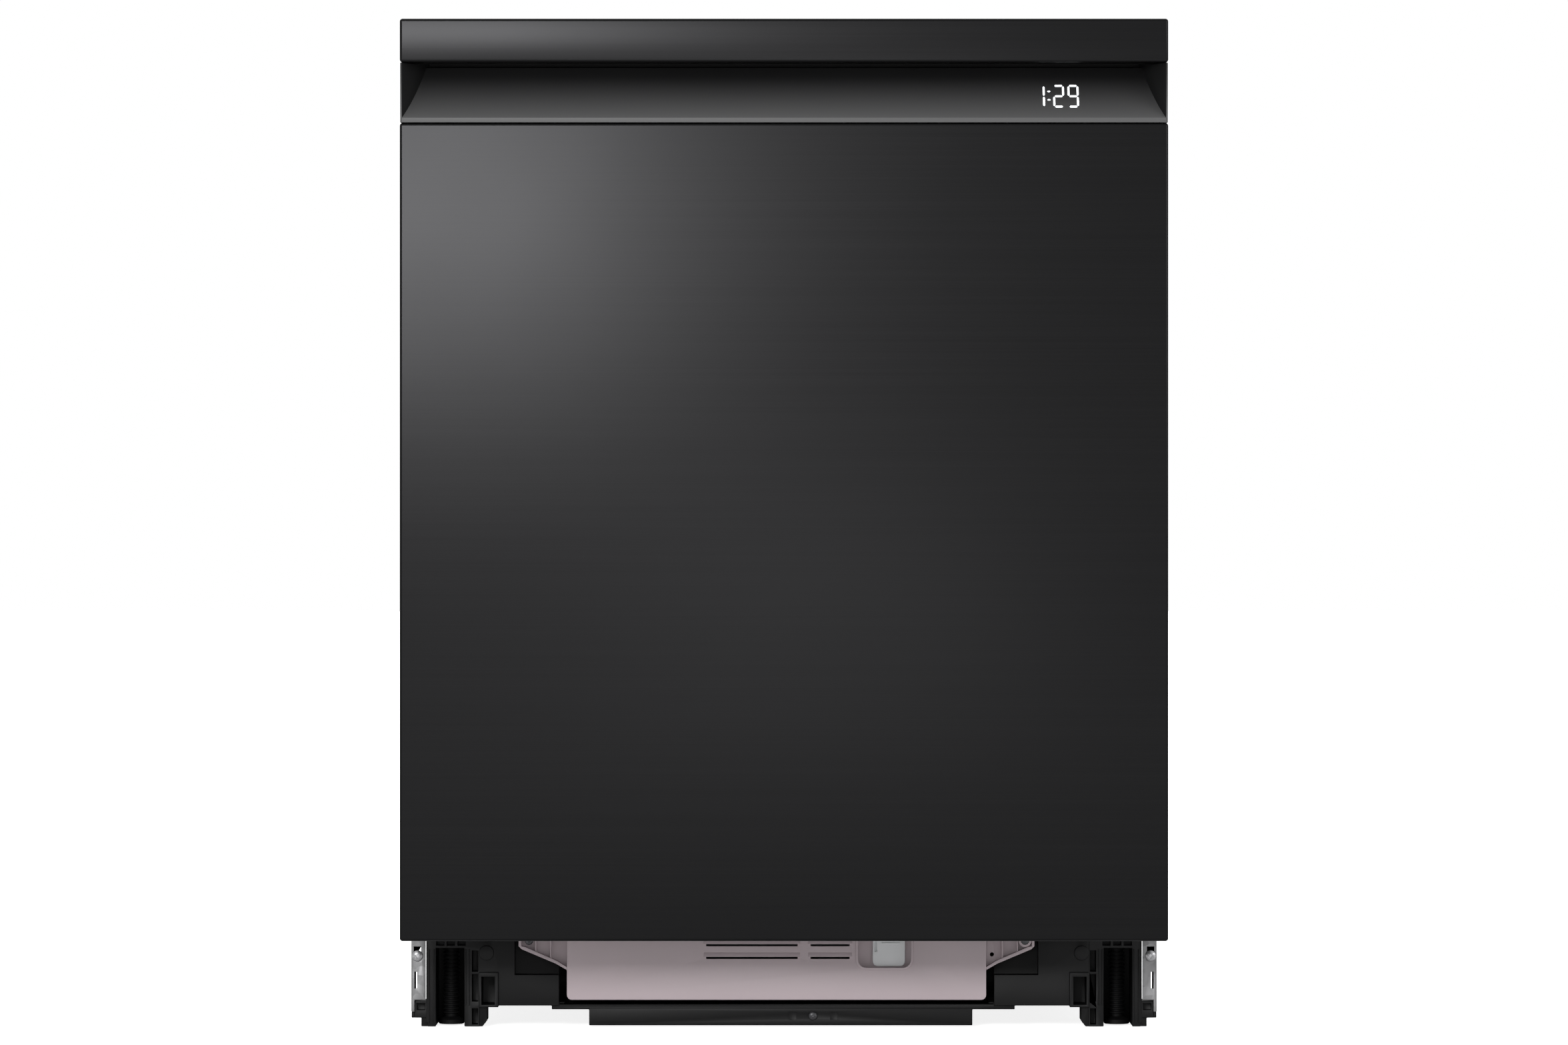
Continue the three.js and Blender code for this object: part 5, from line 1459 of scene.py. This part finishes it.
wheel_places = [(side * 262 * mm, y * mm) for y in (-150, 190) for side in (-1, 1)]
axle_z = 160.7 * mm
axle = [(0, 0), (3 * mm, 0), (3 * mm, 13.4 * mm)]
axle += [(2.4 * mm, 14 * mm), (2.4 * mm, 15.2 * mm), (0, 15.5 * mm)]
for x, y in wheel_places:
    side = math.copysign(1, x)
    inner, outer = sorted((side * (lower_half - 3 * mm), side * (lower_half + 3 * mm)))
    hanger = start_block(
        "wheel_hanger", (inner, y - 8 * mm, axle_z - 7 * mm), (outer, y + 8 * mm, lower_floor + 2 * mm)
    )
    choose(hanger, "EDGE", lambda place, way: abs(way.x) > 0.9 and place.z < axle_z)
    bpy.ops.mesh.bevel(offset=6.5 * mm, segments=6, profile=0.5)
    done()
    round_edges(hanger, 0.8 * mm)
    fittings.append(hanger)
    fittings.append(turned("axle", axle, (side * lower_half, y, axle_z), (side, 0, 0), 20))
lower_basket = join_pieces("lower_basket", [lower_basket, *fittings])
smooth_curves(50)
fit(lower_basket, "lower_rack", "coated_wire", nylon_coat, "lower_rack")

fixed_rod_z = lower_floor + 2 * mm
fixed_rod_ends = (-229.2 * mm, 255.2 * mm)
for node, x in (("fixed_tines_left", -190 * mm), ("fixed_tines_right", 112 * mm)):
    rod = [[(x, y, fixed_rod_z) for y in fixed_rod_ends]]
    teeth = [tine_points(x, y, fixed_rod_z) for y in tine_ys]
    wires = [bent_wire("rod", rod, 4 * mm, 2), bent_wire("teeth", teeth, side_wire, 2)]
    row = join_pieces(node + "_wires", wires)
    fit(row, "lower_rack", "coated_wire", nylon_coat, node)
for side, x in zip(("left", "right"), folding_xs):
    rod = [[(x, tine_ys[0] - 6 * mm, rod_z), (x, tine_ys[-1] + 6 * mm, rod_z)]]
    teeth = [tine_points(x, y, rod_z) for y in tine_ys]
    wires = [bent_wire("rod", rod, 4.4 * mm, 2), bent_wire("teeth", teeth, side_wire, 2)]
    row = join_pieces(f"tine_row_{side}_wires", wires)
    fit(row, f"tine_row_{side}", "coated_wire", nylon_coat, f"tine_row_{side}")

upper_half = 250 * mm
upper_floor, upper_rim = 508 * mm, 600 * mm
upper_basket = wire_rack(
    "upper_basket",
    "upper_rack",
    upper_floor,
    upper_rim,
    upper_half,
    even(-200 * mm, 230 * mm, 36 * mm),
    even(-222 * mm, 222 * mm, 44 * mm),
)
hangers = []
for side in (-1, 1):
    for y in (24.5 * mm, 190 * mm):
        inner, outer = sorted((side * (upper_half - 1.5 * mm), side * 264.4 * mm))
        hanger = start_block(
            "slide_hanger", (inner, y - 18 * mm, 551 * mm), (outer, y + 18 * mm, upper_rim)
        )
        choose(hanger, "EDGE", lambda place, way: abs(way.x) > 0.9)
        bpy.ops.mesh.bevel(offset=6 * mm, segments=5, profile=0.5)
        done()
        round_edges(hanger, 1 * mm, 2)
        hangers.append(hanger)
upper_basket = join_pieces("upper_basket", [upper_basket, *hangers])
smooth_curves(50)
fit(upper_basket, "upper_rack", "coated_wire", nylon_coat, "upper_rack")

tray_floor, tray_rim = 702 * mm, 742 * mm
tray_basket = wire_rack(
    "tray_basket",
    "cutlery_tray",
    tray_floor,
    tray_rim,
    upper_half,
    even(-205 * mm, 235 * mm, 24 * mm),
    even(-225 * mm, 225 * mm, 30 * mm),
)
runners = []
for side in (-1, 1):
    inner, outer = sorted((side * (upper_half - 1.5 * mm), side * (upper_half + 11 * mm)))
    runner = start_block("runner", (inner, -195 * mm, 716 * mm), (outer, 235 * mm, 722 * mm))
    choose(runner, "EDGE", lambda place, way: abs(way.z) > 0.9 and abs(place.x) > upper_half + 5 * mm)
    bpy.ops.mesh.bevel(offset=6 * mm, segments=5, profile=0.5)
    done()
    round_edges(runner, 0.8 * mm)
    runners.append(runner)
tray_basket = join_pieces("tray_basket", [tray_basket, *runners])
smooth_curves(50)
fit(tray_basket, "cutlery_tray", "coated_wire", nylon_coat, "cutlery_tray")

# ---------------------------------------------------------------- rack wheels
# Moulded wheels snap onto the lower rack's axles. Each has a smooth tread, a thin web with six openings and
# a hub, and they run on the tub's floor and then on the open door.

wheel_low, wheel_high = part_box("rack_wheel_front_left")
wheel_at = (wheel_low + wheel_high) / 2
wheel_outline = [(15 * mm, -5 * mm), (18.2 * mm, -5 * mm), (19 * mm, -4.2 * mm), (19 * mm, 4.2 * mm)]
wheel_outline += [(18.2 * mm, 5 * mm), (15 * mm, 5 * mm), (14.6 * mm, 2 * mm), (7.4 * mm, 2 * mm)]
wheel_outline += [(7 * mm, 5.8 * mm), (3.4 * mm, 5.8 * mm), (3.4 * mm, -5.8 * mm), (7 * mm, -5.8 * mm)]
wheel_outline += [(7.4 * mm, -2 * mm), (14.6 * mm, -2 * mm), (15 * mm, -5 * mm)]
wheel_turned = turned("rack_wheel", wheel_outline, wheel_at, (1, 0, 0), 48)
for i in range(6):
    angle = i * math.tau / 6
    at = wheel_at + Vector((0, math.cos(angle), math.sin(angle))) * 11 * mm
    opening = [(0, -4 * mm), (2.6 * mm, -4 * mm), (2.6 * mm, 4 * mm), (0, 4 * mm)]
    cut_with(wheel_turned, turned("opening", opening, at, (1, 0, 0), 20))
for corner, (x, y) in zip(("front_left", "front_right", "rear_left", "rear_right"), wheel_places):
    copy = bpy.data.objects.new(f"wheel_{corner}", wheel_turned.data.copy())
    copy.data.name = copy.name
    bpy.context.collection.objects.link(copy)
    choose(copy, "VERT", lambda place, normal: True)
    bpy.ops.transform.translate(value=Vector((x, y, axle_z)) - wheel_at)
    done()
    smooth_curves()
    fit(copy, f"rack_wheel_{corner}", "grey_plastic", grey_moulding, f"rack_wheel_{corner}")
bpy.data.objects.remove(wheel_turned)

# ---------------------------------------------------------------- cutlery basket
# An open moulded basket for the tall cutlery stands in the lower rack. Its walls are cut with rows of
# slots, and inner walls part it into four cells.

basket_low, basket_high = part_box("cutlery_basket")
basket = merged_copy("cutlery_basket", "tall_basket")
cell = (basket_high.y - basket_low.y - 2.2 * mm) / 4
slot_zs = [basket_low.z + rise * mm for rise in (12, 45, 78)]
slots = []
for column in range(20):
    part, place_in = divmod(column, 5)
    y = basket_low.y + 2.2 * mm + part * cell + (place_in + 0.5) * (cell - 2.2 * mm) / 5
    for z in slot_zs:
        near, far = basket_low.x - 2 * mm, basket_high.x + 2 * mm
        slots.append(start_block("slot", (near, y - 3 * mm, z), (far, y + 3 * mm, z + 25 * mm)))
for row in range(5):
    x = basket_low.x + 8 * mm + row * 14 * mm
    for z in slot_zs:
        near, far = basket_low.y - 2 * mm, basket_high.y + 2 * mm
        slots.append(start_block("slot", (x - 3 * mm, near, z), (x + 3 * mm, far, z + 25 * mm)))
cut_with(basket, join_pieces("slots", slots))
bevel_edges(basket, 0.35 * mm, 1)
smooth_curves()
fit(basket, "cutlery_basket", "grey_plastic", grey_moulding, "cutlery_basket")

# ---------------------------------------------------------------- door lining
# The lining is one stainless pressing: a pan with a dished middle, raised tracks for the lower rack's
# wheels and an opening for the latch. It is screwed to the front panel's returns.

door_stainless = brushed_metal("door_stainless", (0.5, 0.51, 0.52), (30, 600, 500), 0.28, 0.12, 0.00001)
lining = softened("door_liner", "door_lining", 0.5 * mm)
dish_beads = []
for left, right, bottom in ((-204, -176, 300), (176, 204, 300), (-60, 60, 590)):
    low, high = (left * mm, -273 * mm, bottom * mm), (right * mm, -270.6 * mm, 640 * mm)
    dish_beads.append(pressed_bead("dish_bead", low, high, (0, 1, 0)))
lining = join_pieces("door_lining", [lining, *dish_beads])
smooth_curves()
fit(lining, "door", "stainless", door_stainless, "door_liner")
button_head = [(0, 0.9 * mm), (1.8 * mm, 0.8 * mm), (3 * mm, 0.4 * mm), (3.3 * mm, 0)]
button_head += [(1.5 * mm, 0), (1.5 * mm, -4 * mm), (0, -4 * mm)]
hexagon_socket = [(0, 0.2 * mm), (1.1 * mm, 0.2 * mm), (1.3 * mm, 2 * mm), (0, 2 * mm)]
lining_screws = []
for x in (-281 * mm, 281 * mm):
    for z in (200 * mm, 420 * mm, 640 * mm):
        seat = (x, -254 * mm, z)
        screw = turned("lining_screw", button_head, seat, (0, 1, 0), 24)
        cut_with(screw, turned("socket", hexagon_socket, seat, (0, 1, 0), 6))
        lining_screws.append(screw)
lining_screws = join_pieces("lining_screws", lining_screws)
fit(lining_screws, "door", "screw_steel", bright_zinc)

# ---------------------------------------------------------------- touch strip
# The keys lie along the door's top edge under a strip of gloss black acrylic. Plain printed marks show
# where to press: ten rings for the programmes and a disc for the start key, each with a short bar in front.

gloss_acrylic, acrylic_tree, acrylic_shader = start_material("gloss_acrylic", (0.004, 0.004, 0.0045), 0.08)
acrylic_shader.inputs["Coat Weight"].default_value = 0.5
acrylic_grain = use_group(acrylic_tree, moulded_texture, Roughness=0.08, Drift=0.08, Pebbles=300.0)
acrylic_tree.links.new(acrylic_grain.outputs["Roughness"], acrylic_shader.inputs["Roughness"])
strip = softened("control_panel", "touch_strip", 0.4 * mm, 3)
fit(strip, "door", "gloss_black", gloss_acrylic, "control_panel")
strip_low, strip_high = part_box("control_panel")
key_y = (strip_low.y + strip_high.y) / 2
marks = []
start_key_x = 236
key_ring = [(3.1 * mm, 0), (3.1 * mm, 0.1 * mm), (4.1 * mm, 0.1 * mm), (4.1 * mm, 0)]
start_disc = [(0, 0.1 * mm), (5.2 * mm, 0.1 * mm), (5.2 * mm, 0)]
for x in (-236, -204, -172, -140, -108, -76, 76, 108, 140, 172, start_key_x):
    profile = start_disc if x == start_key_x else key_ring
    marks.append(turned("key_mark", profile, (x * mm, key_y, strip_high.z - 0.06 * mm), (0, 0, 1), 32))
    bar = start_block(
        "key_bar",
        ((x - 4) * mm, key_y - 10.4 * mm, strip_high.z - 0.1 * mm),
        ((x + 4) * mm, key_y - 9.6 * mm, strip_high.z + 0.04 * mm),
    )
    marks.append(bar)
marks = join_pieces("key_marks", marks)
printed = moulded_plastic("printed_marks", (0.55, 0.56, 0.57), 0.5, drift=0.1)
fit(marks, "door", "white_plastic", printed)

# ---------------------------------------------------------------- latch and hinges
# A moulded latch in the door's top edge closes on the tub's hook. Stamped steel arms on pivots carry the
# door at its lower corners.

latch = softened("door_latch", "latch_case", 0.6 * mm)
fit(latch, "door", "black_plastic", black_moulding, "door_latch")
for side in ("left", "right"):
    arm = softened(f"hinge_arm_{side}", f"hinge_strap_{side}", 0.4 * mm)
    fit(arm, "door", "zinc_steel", galvanised, f"hinge_arm_{side}")

# ---------------------------------------------------------------- detergent and rinse-aid dispenser
# A moulded unit set into the lining: a sliding lid over the detergent cup, and a screw cap with a bar grip
# on the rinse-aid tank.

dispenser = softened("dispenser_body", "dispenser_case", 0.8 * mm)
grooves = []
for i in range(5):
    z = (486 + i * 4) * mm
    grooves.append(start_block("groove", (-70 * mm, -268.7 * mm, z), (50 * mm, -266 * mm, z + 1.2 * mm)))
cut_with(dispenser, join_pieces("grooves", grooves))
window = turned(
    "level_window",
    [(0, 0.35 * mm), (5 * mm, 0.3 * mm), (6.4 * mm, 0), (6.4 * mm, -1 * mm), (0, -1 * mm)],
    (40 * mm, -268 * mm, 388 * mm),
    (0, 1, 0),
    32,
)
dispenser = join_pieces("dispenser_case", [dispenser, window])
smooth_curves()
fit(dispenser, "door", "grey_plastic", grey_moulding, "dispenser_body")
lid = softened("dispenser_lid", "detergent_lid", 0.8 * mm, 3)
fit(lid, "dispenser_lid", "white_plastic", white_moulding, "dispenser_lid")
cap_low, cap_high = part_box("rinse_cap")
cap_at = ((cap_low.x + cap_high.x) / 2, cap_low.y, (cap_low.z + cap_high.z) / 2)
deep = cap_high.y - cap_low.y
cap = turned(
    "rinse_aid_cap",
    [(0, 0), (19.4 * mm, 0), (20 * mm, 0.6 * mm), (20 * mm, deep - 4.2 * mm), (19.4 * mm, deep - 3.6 * mm)]
    + [(17 * mm, deep - 3.6 * mm), (16.4 * mm, deep - 4.4 * mm), (0, deep - 4.4 * mm)],
    cap_at,
    (0, 1, 0),
    48,
)
bar = start_block(
    "cap_grip",
    (cap_at[0] - 16 * mm, cap_high.y - 5.5 * mm, cap_at[2] - 2.5 * mm),
    (cap_at[0] + 16 * mm, cap_high.y, cap_at[2] + 2.5 * mm),
)
choose(bar, "FACE", lambda place, normal: normal.y > 0.9)
bpy.ops.transform.resize(value=(0.82, 1, 0.6))
done()
round_edges(bar, 0.8 * mm, 3, 20)
cap = join_pieces("rinse_aid_cap", [cap, bar])
smooth_curves()
blue_moulding = moulded_plastic("blue_moulding", (0.02, 0.11, 0.33), 0.38, drift=0.12, depth=0.00003)
fit(cap, "rinse_cap", "blue_plastic", blue_moulding, "rinse_cap")
